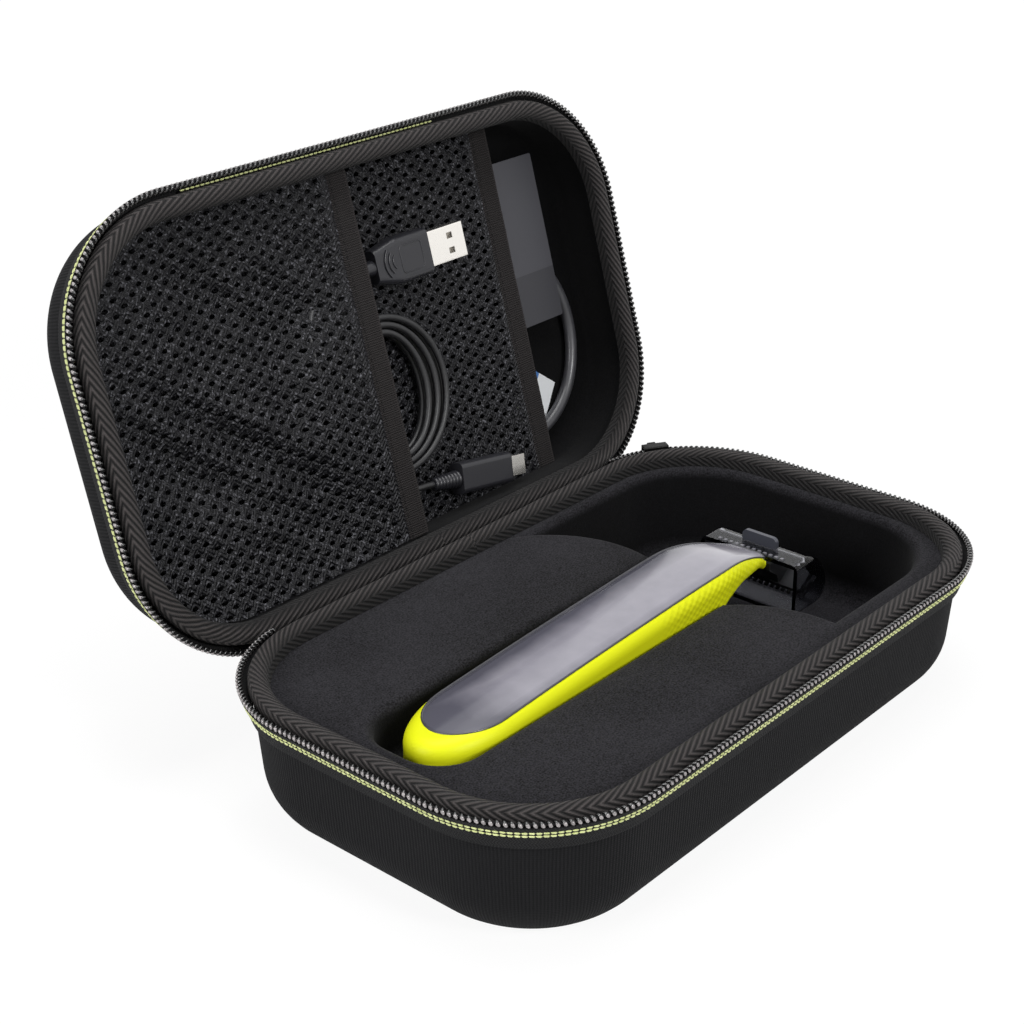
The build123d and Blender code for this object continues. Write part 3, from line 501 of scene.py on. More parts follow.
# --------------------------------------
# Bindings: wide herringbone tape folded over each rim and sewn through. Its
# ribs slant one way over the crest and the other way down the inner side.
yarn_pitch = 0.00042
herringbone, bone_place, bone = new_group(
    "herringbone", {"Column": 0.0046, "Rib Pitch": 0.0019, "Slope": 1.0, "First Column": 0.0}
)
bone_along, bone_across, _ = split(herringbone, bone_place)
bone_zigzag = (bone_across - bone["First Column"]).step("PINGPONG", bone["Column"])
bone_drift = speckle(herringbone, bone_place, 160.0) * 0.0007 + bone_along
bone_wave = (bone_zigzag * bone["Slope"] + bone_drift) / bone["Rib Pitch"]
bone_rib = bone_wave.wave() * 0.5 + 0.5
bone_yarn = (bone_across / yarn_pitch).wave()
bone_fuzz = speckle(herringbone, bone_place, 2200.0, 4.0)
bone_height = bone_rib + bone_yarn * 0.07 + bone_fuzz * 0.35
end_group(herringbone, {"Height": bone_height, "Rib": bone_rib})

binding_cloth = Finish("binding_herringbone", (0.02, 0.02, 0.02), 0.75, sheen=0.04, gloss=0.2)
binding_weave = binding_cloth.weave(
    herringbone, {"Column": 0.0065, "Rib Pitch": 0.0032, "Slope": 2.0, "First Column": 0.003}
)
# Painted shade: the tape's colour darkens to a fifth of its tone down the inner side, past the
# crest.
binding_down = split(binding_cloth.tree, binding_cloth.cloth())[1]
binding_painted_shade = (binding_down * -300.0 + 2.9).clamped() * 0.8 + 0.2
binding_tone = binding_weave["Rib"] * binding_painted_shade
binding_cloth.paint(binding_tone, (0.003, 0.003, 0.0033), (0.064, 0.057, 0.056))
binding_cloth.relief(binding_weave["Height"], 0.0005)

binding_section = [
    (-0.0023, -0.0016), (-0.0024, -0.0004), (-0.0025, 0.0005), (-0.0030, 0.0013),
    (-0.0038, 0.0019), (-0.0048, 0.0022), (-0.0058, 0.00205), (-0.0069, 0.0017),
    (-0.0078, 0.0010), (-0.0084, 0.0000), (-0.00868, -0.0014), (-0.00879, -0.0030),
    (-0.0078, -0.0030), (-0.0077, -0.0008), (-0.00755, 0.0011), (-0.0051, 0.00125),
    (-0.00295, 0.0011), (-0.00292, -0.0016),
]
binding_face = range(1, 11)
binding_steps = 700
ripple_length = 0.0047
ripple_height = 0.00011
wander_height = 0.00018


def binding_profile(run):
    """The folded tape's section, puckered a little where it turns a corner."""
    _, _, out_x, out_y = rim_spot(run)
    in_corner = min(abs(out_x), abs(out_y)) / 0.7071
    ripple = sin(run * 2 * pi / ripple_length) * ripple_height * in_corner
    wander = noise.noise(Vector((run * 60, 3.1, 0))) * wander_height
    section = []
    for row, (out, height) in enumerate(binding_section):
        if row in binding_face:
            share = row / 10
            out += ripple * share * 0.5
            height += ripple * share + wander * 0.5
        section.append((out, height))
    return section


for binding_name, binding_node, binding_rim, binding_body, rib_way in (
    ("base_rolled_binding", "base_binding", base_frame, "base", 1),
    ("lid_rolled_binding", "lid_binding", lid_frame, "lid", -1),
):
    binding_ends = (0, rim_perimeter, binding_steps)
    binding = rim_sweep(
        binding_name, binding_cloth, binding_rim, binding_profile, *binding_ends
    )
    for corner in binding.data.uv_layers["cloth"].data:
        corner.uv.x *= rib_way
    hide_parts(binding_node)
    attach(binding, binding_body)

# --------------------------------------
# Zip tapes: woven tape sewn to the outside of each shell, flared out so that
# the coils meet. Yellow-green thread runs round it in two rows, and one row
# shows inside the coil on the lid's far side.
zip_end_x = 0.080
zip_start_angle = acos((zip_end_x - corner_x) / corner_radius)
zip_start = corner_x + corner_radius * (pi / 2 - zip_start_angle)
zip_stop = rim_perimeter - zip_start

zip_cloth = Finish("zip_tape_weave", (0.01, 0.01, 0.01), 0.85, sheen=0.03, gloss=0.15)
zip_weave = zip_cloth.weave(herringbone, {"Column": 0.0011, "Rib Pitch": 0.0009, "Slope": 0.8})
zip_cloth.paint(zip_weave["Rib"], (0.004, 0.004, 0.0045), (0.015, 0.015, 0.016))
zip_cloth.relief(zip_weave["Height"], 0.00012)

tape_section = [
    (0.00075, -0.00085), (0.00062, -0.0013), (0.0000, -0.0024), (-0.0006, -0.0040),
    (-0.00105, -0.0054), (-0.0016, -0.0070), (-0.0019, -0.0082), (-0.0021, -0.0088),
    (-0.0027, -0.00915), (-0.0035, -0.0091), (-0.0032, -0.0060), (-0.0030, -0.0046),
    (-0.0022, -0.0036), (-0.0014, -0.0024), (-0.0008, -0.0014), (-0.0003, -0.0008),
]

tape_steps = 420

thread = Finish("yellow_green_thread", (0.55, 0.62, 0.16), 0.55, sheen=0.2)
thread.paint(thread.noise(900.0), (0.42, 0.50, 0.10), (0.92, 0.94, 0.52))

stitch_pitch = 0.00185
stitch_length = 0.00166
stitch_radius = 0.00036
stitch_sink = 0.00014
stitch_sides = 5
stitch_rings = ((-0.5, 0.4), (-0.28, 1.0), (0.28, 1.0), (0.5, 0.4))


def stitch_row(name, rim, out, height, lift, slant, body, begin=zip_start, end=zip_stop):
    """A row of short stitches round a rim, each lifted off the tape along (out, height)."""
    points, faces = [], []
    count = int((end - begin) / stitch_pitch)
    one_stitch, _ = grid(len(stitch_rings), stitch_sides, range(len(stitch_rings)))
    for number in range(count):
        middle = begin + (number + 0.5) * (end - begin) / count
        faces += [tuple(len(points) + corner for corner in face) for face in one_stitch]
        for share, fat in stitch_rings:
            for side in range(stitch_sides):
                angle = 2 * pi * side / stitch_sides
                up = cos(angle) * stitch_radius * fat * 0.8 - stitch_sink * (1 - fat)
                aside = sin(angle) * stitch_radius * fat + share * slant
                x = out + lift[0] * up - lift[1] * aside
                y = height + lift[1] * up + lift[0] * aside
                points.append(rim_at(rim, middle + share * stitch_length, x, y))
    row = finish_mesh(name, thread, points, faces, sharp=80)
    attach(row, body)


tape_slope = Vector((0.94, 0.34)).normalized()
stitch_slant = 0.0001
for half, tape_rim in (("base", base_frame), ("lid", lid_frame)):
    tape_ends = (zip_start, zip_stop, tape_steps)
    tape = rim_sweep(f"{half}_woven_zip_tape", zip_cloth, tape_rim, tape_section, *tape_ends)
    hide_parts(f"{half}_zip_tape")
    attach(tape, half)
    for row, place in (("upper", (-0.0001, -0.0026)), ("lower", (-0.0005, -0.0038))):
        stitch_row(f"{half}_{row}_stitches", tape_rim, *place, tape_slope, stitch_slant, half)
inner_place = (-0.0017, -0.00105)
inner_lift = (-0.5, 0.87)
far_side = rim_perimeter / 2
inner_ends = (far_side - corner_x + 0.036, far_side + corner_x - 0.008)
stitch_row("lid_inner_stitches", lid_frame, *inner_place, inner_lift, 0, "lid", *inner_ends)

# --------------------------------------
# Zip coils: one nylon monofilament per side, wound round a filler cord and
# pressed flat. Each turn's outer bend is a tooth, swollen, with a painted highlight.
coil_pitch = 0.00185
coil_turn_steps = 10
coil_sides = 6
coil_wire = (0.00038, 0.00040)
coil_head = 0.35
coil_reach = (0.00066, 0.00060)
filler_reach = (0.0004, 0.00036)
filler_steps = 300

zip_nylon = Finish("zip_nylon", (0.005, 0.005, 0.005), 0.2, gloss=1.0)
# Painted highlight: each turn's outer bend, and more faintly its inner bend, is painted pale,
# broken up by noise.
nylon_turn = split(zip_nylon.tree, zip_nylon.cloth())[0] * (2 * pi)
nylon_bend_highlight = nylon_turn.step("COSINE")
nylon_bend_highlight = nylon_bend_highlight.step("MAXIMUM", nylon_bend_highlight * -0.72)
nylon_painted_highlight = (nylon_bend_highlight * 3.6 + -2.3).clamped() * zip_nylon.noise(700.0)
zip_nylon.paint(nylon_painted_highlight, (0.003, 0.003, 0.003), (0.60, 0.55, 0.55))


def wound_coil(name, rim, body, node):
    """The filament's turns round one rim, as a tube that follows a flat helix."""
    count = int((zip_stop - zip_start) / coil_pitch) * coil_turn_steps
    centres, outs = [], []
    for step in range(count + 1):
        run = zip_start + (zip_stop - zip_start) * step / count
        angle = 2 * pi * step / coil_turn_steps
        across, up = coil_reach[0] * cos(angle), coil_reach[1] * sin(angle)
        centres.append(rim_at(rim, run, across, up))
        outs.append((centres[-1] - rim_at(rim, run)).normalized())
    points = []
    for step in range(count + 1):
        along = (centres[min(step + 1, count)] - centres[max(step - 1, 0)]).normalized()
        radial = (outs[step] - along * outs[step].dot(along)).normalized()
        sideways = along.cross(radial)
        head = max(cos(2 * pi * step / coil_turn_steps), 0)
        for side in range(coil_sides):
            angle = 2 * pi * side / coil_sides
            way = radial * cos(angle) * coil_wire[0]
            way += sideways * sin(angle) * coil_wire[1] * (1 + coil_head * head)
            points.append(centres[step] + way)
    turns = [step / coil_turn_steps for step in range(count + 1)]
    coil = finish_mesh(name, zip_nylon, points, *grid(count + 1, coil_sides, turns), 80)
    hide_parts(node)
    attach(coil, body)
    filler_section = [
        (filler_reach[0] * cos(angle), filler_reach[1] * sin(angle))
        for angle in (pi * side / 3 for side in range(6))
    ]
    filler_ends = (zip_start, zip_stop, filler_steps)
    filler = rim_sweep(
        f"{name}_filler_cord", zip_cloth, rim, filler_section, *filler_ends, sharp=80
    )
    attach(filler, body)


wound_coil("base_wound_coil", base_frame, "base", "base_zip_coil")
wound_coil("lid_wound_coil", lid_frame, "lid", "lid_zip_coil")

# --------------------------------------
# Hinge strip: a strip of the zip tape's cloth glued to both rear walls. It
# folds between the halves when the case closes.
hinge_half_length = 0.0740
hinge_flap = 0.0070
hinge_thickness = 0.0009
hinge_glue = 0.0002
hinge_top = -0.0031
hinge_columns = 60
flap_steps = 5
fold_steps = 14


def rear_flap(rim, height):
    """A point of the flap that is glued to a half's rear wall, at a height."""
    out = -wall_inset - (rim_rise - height) * tan(wall_draft)
    return rim_place(rim, 0, half_width + out + hinge_thickness / 2 + hinge_glue, height)


flap_drops = [hinge_flap * step / flap_steps for step in range(flap_steps + 1)]
hinge_line = [rear_flap(base_frame, hinge_top - drop) for drop in reversed(flap_drops)]
lid_flap = [rear_flap(lid_frame, hinge_top - drop) for drop in flap_drops]
fold_start, fold_end = hinge_line[-1], lid_flap[0]
fold_span = (fold_end - fold_start).length
fold_leave = (fold_start - hinge_line[-2]).normalized() * fold_span * 0.12
fold_leave += Vector((0, fold_span * 0.26, 0))
fold_enter = (lid_flap[1] - fold_end).normalized() * fold_span * 0.12
fold_enter += Vector((0, fold_span * 0.10, fold_span * 0.28))
fold = (fold_start, fold_start + fold_leave, fold_end - fold_enter, fold_end)
hinge_line += interpolate_bezier(*fold, fold_steps + 1)[1:-1] + lid_flap
hinge_runs = [2 * hinge_half_length * column / hinge_columns for column in range(hinge_columns + 1)]
hinge_points = [
    Vector((run - hinge_half_length, place.y, place.z))
    for run in hinge_runs
    for place in hinge_line
]
hinge_span = [0]
for before, after in zip(hinge_line, hinge_line[1:]):
    hinge_span.append(hinge_span[-1] + (after - before).length)
hinge_spans = [hinge_span] * len(hinge_runs)
hinge_grid = grid(len(hinge_runs), len(hinge_line), hinge_runs, hinge_spans, shut=False)
hinge_cloth = finish_mesh("cloth_hinge_strip", zip_cloth, hinge_points, *hinge_grid, 80)
thicken(hinge_cloth, "cloth_thickness", hinge_thickness)
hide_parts("hinge_strip")
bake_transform(hinge_cloth)

# --------------------------------------
# Pocket meshes: black warp-knit net with staggered oval holes, sewn under the
# lid's binding and to an elastic band. Each sags and puckers a little.
net_pitch = 7.2
net_row = 2.35
net_hole = (1.42, 0.74)
net_hole_dip = 0.4
net_thread = 0.00045
net_edge_inset = 8.7
net_hem = 2.2
ring_middle = (1.0, 55.5)
ring_reach = 28.0


def lid_place(across, up, out):
    """A point of the lid, in millimetres: along it, up from its hinge edge, out of it."""
    return rim_place(lid_frame, across / 1000, half_width - up / 1000, out / 1000)


net_yarn = Finish("pocket_net", (0.012, 0.012, 0.013), 0.42, gloss=0.2)
net_loops = net_yarn.weave(
    herringbone, {"Column": net_pitch / 4000, "Rib Pitch": 0.0015, "Slope": 1.0}
)
# Painted highlights: sparse pale flecks on the yarn loops, set by thresholded noise and the loop
# ribs.
net_painted_highlight = (net_yarn.noise(1150.0) * 9.0 + -5.0).clamped()
net_tone = (net_loops["Rib"] * 0.7 + 0.3) * net_painted_highlight
net_yarn.paint(net_tone, (0.0045, 0.0045, 0.0058), (0.13, 0.13, 0.145))
net_yarn.relief(net_loops["Height"], 0.00022)


def limited(value, low, high):
    return min(max(value, low), high)


def eased(share):
    """A share held between 0 and 1 that starts and ends softly."""
    share = limited(share, 0, 1)
    return share * share * (3 - 2 * share)


def into_pocket(across, up, left, right):
    """Moves a point of the net that lies past its cut edge back onto that edge."""
    reach_x = half_length * 1000 - net_edge_inset
    reach_y = half_width * 1000 - net_edge_inset
    radius = corner_radius * 1000 - net_edge_inset
    across = limited(limited(across, left, right), -reach_x, reach_x)
    side = limited(up - half_width * 1000, -reach_y, reach_y)
    over_x = abs(across) - (reach_x - radius)
    over_y = abs(side) - (reach_y - radius)
    if over_x > 0 and over_y > 0 and hypot(over_x, over_y) > radius:
        shrink = radius / hypot(over_x, over_y)
        across = copysign(reach_x - radius + over_x * shrink, across)
        side = copysign(reach_y - radius + over_y * shrink, side)
    return across, side + half_width * 1000


def net_panel(name, node, left, right, level, sag, pucker, seed):
    """A net cut to the pocket, built cell by cell. Sag and pucker are in millimetres."""
    low = net_edge_inset
    high = 2 * half_width * 1000 - net_edge_inset
    shift = net_pitch / 2
    flat = (shift**2 - net_row**2) / (2 * shift)
    reach = (shift**2 + net_row**2) / (2 * shift)
    hexagon = [(reach, 0), (flat, net_row), (-flat, net_row)]
    hexagon += [(-x, -y) for x, y in hexagon]
    outline = []
    for before, after in zip(hexagon, hexagon[1:] + hexagon[:1]):
        outline += [before, ((before[0] + after[0]) / 2, (before[1] + after[1]) / 2)]
    points, plan, known = [], [], {}

    def ripple(across, up, scale, number):
        return noise.noise(Vector((across * scale, up * scale, seed + number)))

    def point_at(across, up, dip=0):
        across, up = into_pocket(across, up, left, right)
        key = (round(across, 3), round(up, 3))
        if key not in known:
            share_x = limited((across - left) / (right - left), 0, 1)
            share_y = limited((up - low) / (high - low), 0, 1)
            hang = (sin(pi * share_x) * sin(pi * share_y)) ** 0.7
            broad = ripple(across, up, 0.030, 0)
            crease = 1 - abs(ripple((across * 0.75 + up) / 21, (up - across) * 0.008, 1, 7)) * 2
            fine = ripple(across, up, 0.11, 3)
            free = eased((dist((across, up), ring_middle) - ring_reach) / 18)
            folds = 0.9 * broad + 0.7 * (crease - 0.6) + 0.35 * fine
            out = level - sag * hang * free - dip
            out += pucker * hang * (0.15 + 0.85 * free) * folds
            known[key] = len(points)
            points.append(lid_place(across, up, out))
            plan.append((up / 1000, (across - left) / 1000))
        return known[key]

    faces = []
    for row in range(int((high - low) / net_row) + 2):
        up = low + row * net_row
        for column in range(int((right - left) / net_pitch) + 2):
            across = left + column * net_pitch + shift * (row % 2)
            cut_off = dist(into_pocket(across, up, left, right), (across, up))
            if cut_off > reach:
                continue
            outer = [point_at(across + dx, up + dy) for dx, dy in outline]
            if len(set(outer)) < 3:
                continue
            if cut_off >= 0.01 or not left + net_hem < across < right - net_hem:
                ring = [corner for spot, corner in enumerate(outer) if corner != outer[spot - 1]]
                if len(set(ring)) == len(ring) and len(ring) > 2:
                    faces.append(tuple(ring))
                continue
            stretch = 1 + 0.10 * ripple(across, up, 0.05, 11)
            inner = []
            for dx, dy in outline:
                angle = atan2(dy / net_hole[1], dx / net_hole[0])
                hole_x = across + cos(angle) * net_hole[0] * stretch
                hole_y = up + sin(angle) * net_hole[1] / stretch
                inner.append(point_at(hole_x, hole_y, net_hole_dip))
            for side in range(len(outline)):
                after = (side + 1) % len(outline)
                quad = (outer[side], outer[after], inner[after], inner[side])
                if len(set(quad)) == 4:
                    faces.append(quad)
    cloth_plan = [tuple(plan[spot] for spot in face) for face in faces]
    panel = finish_mesh(name, net_yarn, points, faces, cloth_plan, sharp=180)
    for face in panel.data.polygons:
        face.use_smooth = False
    thicken(panel, "thread_thickness", net_thread)
    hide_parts(node)
    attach(panel, "lid")
    return panel, sum(face.area for face in panel.data.polygons)


front_net, front_cloth = net_panel(
    "front_pocket_net", "pocket_mesh_front", -108.8, -6.8, -6.0, 6.0, 4.5, 1.7
)
rear_net, rear_cloth = net_panel(
    "rear_pocket_net", "pocket_mesh_rear", -108.8, 68.0, -14.5, 1.4, 1.6, 5.3
)

# --------------------------------------
# Elastic bands: woven black elastic folded over each net's free edge and sewn
# with one row of stitches. It is held taut between the lid's two long sides.
band_width = 9.0
band_thickness = 1.1
band_low = 8.6
band_high = 130.2
band_steps = 60
band_rows = 12
sewn_line = 0.0013
sewn_pitch = 0.0024
sewn_reach = 0.00035
selvage = band_width / 1000 - 0.0013

elastic = Finish("woven_elastic", (0.01, 0.01, 0.01), 0.75, sheen=0.02, gloss=0.2)
elastic_weave = elastic.weave(herringbone, {"Column": 0.0006, "Rib Pitch": 0.0008, "Slope": 0.6})
elastic_along, elastic_across, _ = split(elastic.tree, elastic.cloth())
sewn_near = (elastic_across - sewn_line).step("ABSOLUTE").step("LESS_THAN", sewn_reach)
sewn_shown = elastic_along.step("MODULO", sewn_pitch).step("LESS_THAN", sewn_pitch * 0.6)
sewn_pit = sewn_near * sewn_shown
elastic_tone = elastic_across.step("GREATER_THAN", selvage) * 0.5 + elastic_weave["Rib"]
elastic_tone = sewn_pit * -0.8 + elastic_tone
elastic.paint(elastic_tone, (0.004, 0.0036, 0.0036), (0.026, 0.0225, 0.0225))
elastic.relief(sewn_pit * -1.5 + elastic_weave["Height"], 0.0002)


def elastic_band(name, node, left, level):
    """A taut band across the lid, with a sewn groove near its free edge."""
    section = []
    for front in (1, -1):
        for step in range(band_rows + 1)[::front]:
            share = step / band_rows
            face = front * band_thickness / 2 * (1 - (2 * share - 1) ** 12)
            groove = 0.28 * exp(-(((share - 0.14) / 0.035) ** 2)) if front > 0 else 0
            section.append((share * band_width, face - groove))
    points, runs = [], []
    for step in range(band_steps + 1):
        share = step / band_steps
        up = band_low + (band_high - band_low) * share
        wave = noise.noise(Vector((up * 0.045, left, 2.0))) * 0.5 * sin(pi * share)
        runs.append((band_high - band_low) * share / 1000)
        for across, out in section:
            out += wave * (across / band_width - 0.3)
            points.append(lid_place(left + across, up, level + out))
    span = [across / 1000 for across, _ in section + section[:1]]
    band_grid = grid(len(runs), len(section), runs, [span] * len(runs))
    band = finish_mesh(name, elastic, points, *band_grid, 50)
    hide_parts(node)
    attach(band, "lid")
    return band


front_band = elastic_band("front_elastic", "elastic_band_front", -7.5, -6.0)
rear_band = elastic_band("rear_elastic", "elastic_band_rear", 67.0, -14.5)

# --------------------------------------
# Charging lead: a thin black flex wound in a ring behind the front net, with a
# moulded USB plug at one end and a micro USB plug at the other.
lead_rubber = Finish("lead_rubber", (0.012, 0.012, 0.013), 0.42)
lead_rubber.paint(lead_rubber.noise(300.0, 3.0), (0.008, 0.008, 0.009), (0.020, 0.020, 0.022))
plug_plastic = Finish("plug_plastic", (0.02, 0.02, 0.023), 0.3)
plug_grain = plug_plastic.noise(3500.0)
plug_plastic.paint(plug_grain, (0.014, 0.014, 0.017), (0.030, 0.030, 0.036))
plug_plastic.relief(plug_grain, 0.00003)
plug_steel = Finish("plug_steel", (0.95, 0.92, 0.87), 0.22, metallic=1.0)
plug_steel.wear(plug_steel.noise(450.0, 5.0) * 0.06 + 0.22)

thin_radius = 1.15
ring_turns = ((26, 26, -8.8), (21.5, 23.6, -8.8), (17, 21.2, -8.8))
ring_turns += ((17, 21.2, -11.7), (21.5, 23.6, -11.7), (26, 26, -11.7))
ring_start = 158.0
ring_stop = 229.0
turn_points = 16


def ring_track():
    """The wound turns, as points of the lid: in on the upper layer, out on the lower."""
    last_turn = len(ring_turns) - 1
    whole = (last_turn + 1) * 360 + ring_stop - ring_start
    count = int(whole / 360 * turn_points)
    track = []
    for step in range(count + 1):
        swept = whole * step / count
        angle = radians(ring_start + swept)
        turn = min(int(swept / 360), last_turn)
        after = min(turn + 1, last_turn)
        into = eased((swept - 360 * turn - 290) / 70)
        half_across, half_up, level = (
            here + (there - here) * into for here, there in zip(ring_turns[turn], ring_turns[after])
        )
        across = ring_middle[0] + half_across * cos(angle)
        up = ring_middle[1] + half_up * sin(angle)
        track.append((across, up, level + 0.12 * sin(3 * angle + turn)))
    return track


thin_route = [(-3.05, 96.5, -10.4), (-13, 96.2, -10.4), (-21.5, 91, -10.4), (-25.2, 82.5, -10.2)]
thin_route += [(-25.4, 73.5, -9.6)] + ring_track()
thin_route += [(-19.6, 33.6, -11.3), (-17.8, 27.0, -10.8), (-8.5, 21.4, -10.4)]
thin_route += [(2.0, 22.8, -10.4), (12.0, 21.2, -10.4)]


def new_curve(name, kind, places):
    """A line through or near points, still without its thickness."""
    data = bpy.data.curves.new(name, "CURVE")
    data.dimensions = "3D"
    line = data.splines.new(kind)
    line.points.add(len(places) - 1)
    for spot, place in zip(line.points, places):
        spot.co = (*place, 1)
    data.use_fill_caps = True
    return add_object(name, data), line


def lead_curve(name, finish, route, radius):
    """A round lead along a route of lid points, with its real length in metres."""
    lead, line = new_curve(name, "NURBS", [lid_place(*place) for place in route])
    lead.data.resolution_u = 5
    line.order_u = 3
    line.use_endpoint_u = True
    bare_line = lead.to_mesh()
    corners = bare_line.vertices
    length = 0
    for edge in bare_line.edges:
        first, second = edge.vertices
        length += (corners[first].co - corners[second].co).length
    lead.to_mesh_clear()
    lead.data.bevel_depth = radius / 1000
    lead.data.bevel_resolution = 4
    lead.data.materials.append(finish.material)
    return lead, length


charging_lead, charging_length = lead_curve("charging_lead", lead_rubber, thin_route, thin_radius)
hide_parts("thin_lead_coil", "thin_lead_usb_end", "thin_lead_micro_end")
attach(charging_lead, "lid")
dress("usb_plug_body", plug_plastic)
dress("micro_plug_body", plug_plastic)
dress("usb_plug_shell", plug_steel)
dress("micro_plug_tip", plug_steel)


def raised_line(name, places, radius, finish, body, slot_name, shut=False):
    """A thin raised line moulded on a surface, along given points."""
    shape, line = new_curve(name + "_curve", "POLY", places)
    line.use_cyclic_u = shut
    shape.data.bevel_depth = radius
    shape.data.bevel_resolution = 2
    mesh = bpy.data.meshes.new_from_object(shape)
    mesh.name = name
    bpy.data.objects.remove(shape)
    raised = add_object(name, mesh)
    for face in mesh.polygons:
        face.use_smooth = True
    mesh.materials.append(finish.material)
    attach(raised, body)
    return raised


relief_from = lid_place(12.0, 21.2, -10.4)
relief_way = (lid_place(56.3, 14.4, -10.4) - relief_from).normalized()
relief_side = relief_way.cross(lid_frame[2])
relief_length = 0.0114
relief_ribs = 8
rib_steps = 6
relief_sides = 20
relief_steps = relief_ribs * rib_steps
relief_points = []
for step in range(relief_steps + 1):
    share = step / relief_steps
    swell = abs(sin(pi * step / rib_steps)) ** 0.6
    radius = 0.0017 + 0.0009 * share + 0.0005 * swell
    for side in range(relief_sides):
        angle = 2 * pi * side / relief_sides
        way = relief_side * cos(angle) + lid_frame[2] * sin(angle)
        relief_points.append(relief_from + relief_way * relief_length * share + way * radius)
relief_faces, _ = grid(relief_steps + 1, relief_sides, range(relief_steps + 1))
micro_relief = finish_mesh(
    "ribbed_micro_relief", plug_plastic, relief_points, relief_faces, sharp=60
)
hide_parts("micro_plug_relief")
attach(micro_relief, "lid")

usb_up = 96.5
usb_top = -10.4 + 3.4


def arc_on_plug(across, up, radius, first, last, steps):
    """Points of the lid round an arc on the USB plug's face, from one angle to another."""
    arc = []
    for step in range(steps + 1):
        angle = radians(first + (last - first) * step / steps)
        place = (across + radius * cos(angle), up + radius * sin(angle), usb_top)
        arc.append(lid_place(*place))
    return arc


usb_look = (plug_plastic, "lid", "lead_rubber")
usb_frame = []
for number, corner in enumerate(((26.4, 99.8), (18.8, 99.8), (18.8, 93.2), (26.4, 93.2))):
    usb_frame += arc_on_plug(*corner, 1.2, 90 * number, 90 * number + 90, 3)
usb_marks = [raised_line("usb_plug_frame", usb_frame, 0.00022, *usb_look, True)]
for number, reach in enumerate((3.2, 5.0, 6.8)):
    arc = arc_on_plug(17.2, usb_up, reach, 180 - 42, 180 + 42, 8)
    usb_marks.append(raised_line(f"usb_grip_arc_{number + 1}", arc, 0.00026, *usb_look))
lid_place(*thin_route[0])

# --------------------------------------
# Second lead: a short thick flex with a smooth grey jacket, bent back on
# itself behind the rear net, with a moulded end at each side.
thick_radius = 2.2
thick_level = -18.6
thick_route = [
    (47, 92), (62, 92.6), (78, 88.5), (92.5, 79), (101.6, 64),
    (102.6, 46.5), (95.5, 30.5), (81.5, 20.5), (65, 18.4), (50, 22),
]
thick_route = [(across, up, thick_level) for across, up in thick_route]
grey_jacket = Finish("grey_jacket", (0.05, 0.05, 0.055), 0.3)
grey_jacket.paint(grey_jacket.noise(200.0, 3.0), (0.035, 0.035, 0.04), (0.075, 0.075, 0.082))
thick_lead, thick_length = lead_curve("second_lead", grey_jacket, thick_route, thick_radius)
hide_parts("thick_lead")
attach(thick_lead, "lid")
dress("thick_lead_plug_top", plug_plastic)
dress("thick_lead_plug_low", plug_plastic)
lid_place(*thick_route[0])

# --------------------------------------
# Card and leaflet: a stiff coated card with a darker strip along its foot, and
# a folded paper leaflet with a blue panel. Both carry no print.
card_foot = 0.0757
leaflet_turn = radians(-38)
leaflet_middle = Vector((0.0775, 0.0305))
leaflet_across = Vector((cos(leaflet_turn), sin(leaflet_turn)))
leaflet_up = Vector((-leaflet_across.y, leaflet_across.x))
leaflet_rise = 0.0055


def lid_reading(finish, way):
    """A distance along a way in the lid's plane, in metres."""
    way = Vector((way[0], 0, 0)) - lid_frame[1] * way[1]
    dot = add_node(finish.tree, "VectorMath", {0: finish.place(), 1: way}, "DOT_PRODUCT")
    return Reading(finish.tree, dot.outputs["Value"]) - lid_place(0, 0, 0).dot(way)


card_coat = Finish("coated_card", (0.07, 0.07, 0.085), 0.5)
card_strip = lid_reading(card_coat, (0, 1)).step("LESS_THAN", card_foot)
card_coat.paint(card_strip, (0.052, 0.052, 0.061), (0.030, 0.030, 0.036))
card_coat.relief(card_coat.noise(900.0, 4.0), 0.00002)
dress("card", card_coat)

paper = Finish("leaflet_paper", (0.8, 0.8, 0.8), 0.6)
panel_low = leaflet_middle.dot(leaflet_up) + leaflet_rise
panel_right = leaflet_middle.dot(leaflet_across)
blue_panel = lid_reading(paper, leaflet_up).step("GREATER_THAN", panel_low)
blue_panel *= lid_reading(paper, leaflet_across).step("LESS_THAN", panel_right)
paper.paint(blue_panel, (0.78, 0.80, 0.82), (0.05, 0.16, 0.42))
paper.relief(paper.noise(1200.0, 3.0), 0.00003)
dress("leaflet", paper)

# --------------------------------------
# Shaver grip: a lime moulding with a soft satin skin. Its neck carries small
# moulded diamonds for the fingers, and its button is of the same lime.
diamond_pitch = 0.0016
diamond_slope = 1.4
diamond_start = -0.008
diamond_fade = 0.014
lime_grip = Finish("lime_grip", (0.80, 0.84, 0.010), 0.45, gloss=0.2)
grip_x, _, grip_z = split(lime_grip.tree, lime_grip.place())
diamond_a = (grip_z * diamond_slope + grip_x).step("PINGPONG", diamond_pitch)
diamond_b = (grip_z * -diamond_slope + grip_x).step("PINGPONG", diamond_pitch)
diamond = (diamond_a + diamond_b) / (2 * diamond_pitch)
diamond *= ((grip_x - diamond_start) / diamond_fade).clamped()
lime_grip.relief(diamond, 0.00018)
lime_grip.paint(diamond * 0.08, (0.80, 0.84, 0.010), (0.56, 0.62, 0.006))
dress("shaver_grip", lime_grip)
lime_button = Finish("lime_button", (0.66, 0.72, 0.01), 0.4, gloss=0.3)
lime_button.relief(lime_button.noise(1500.0), 0.00003)
dress("power_button", lime_button)

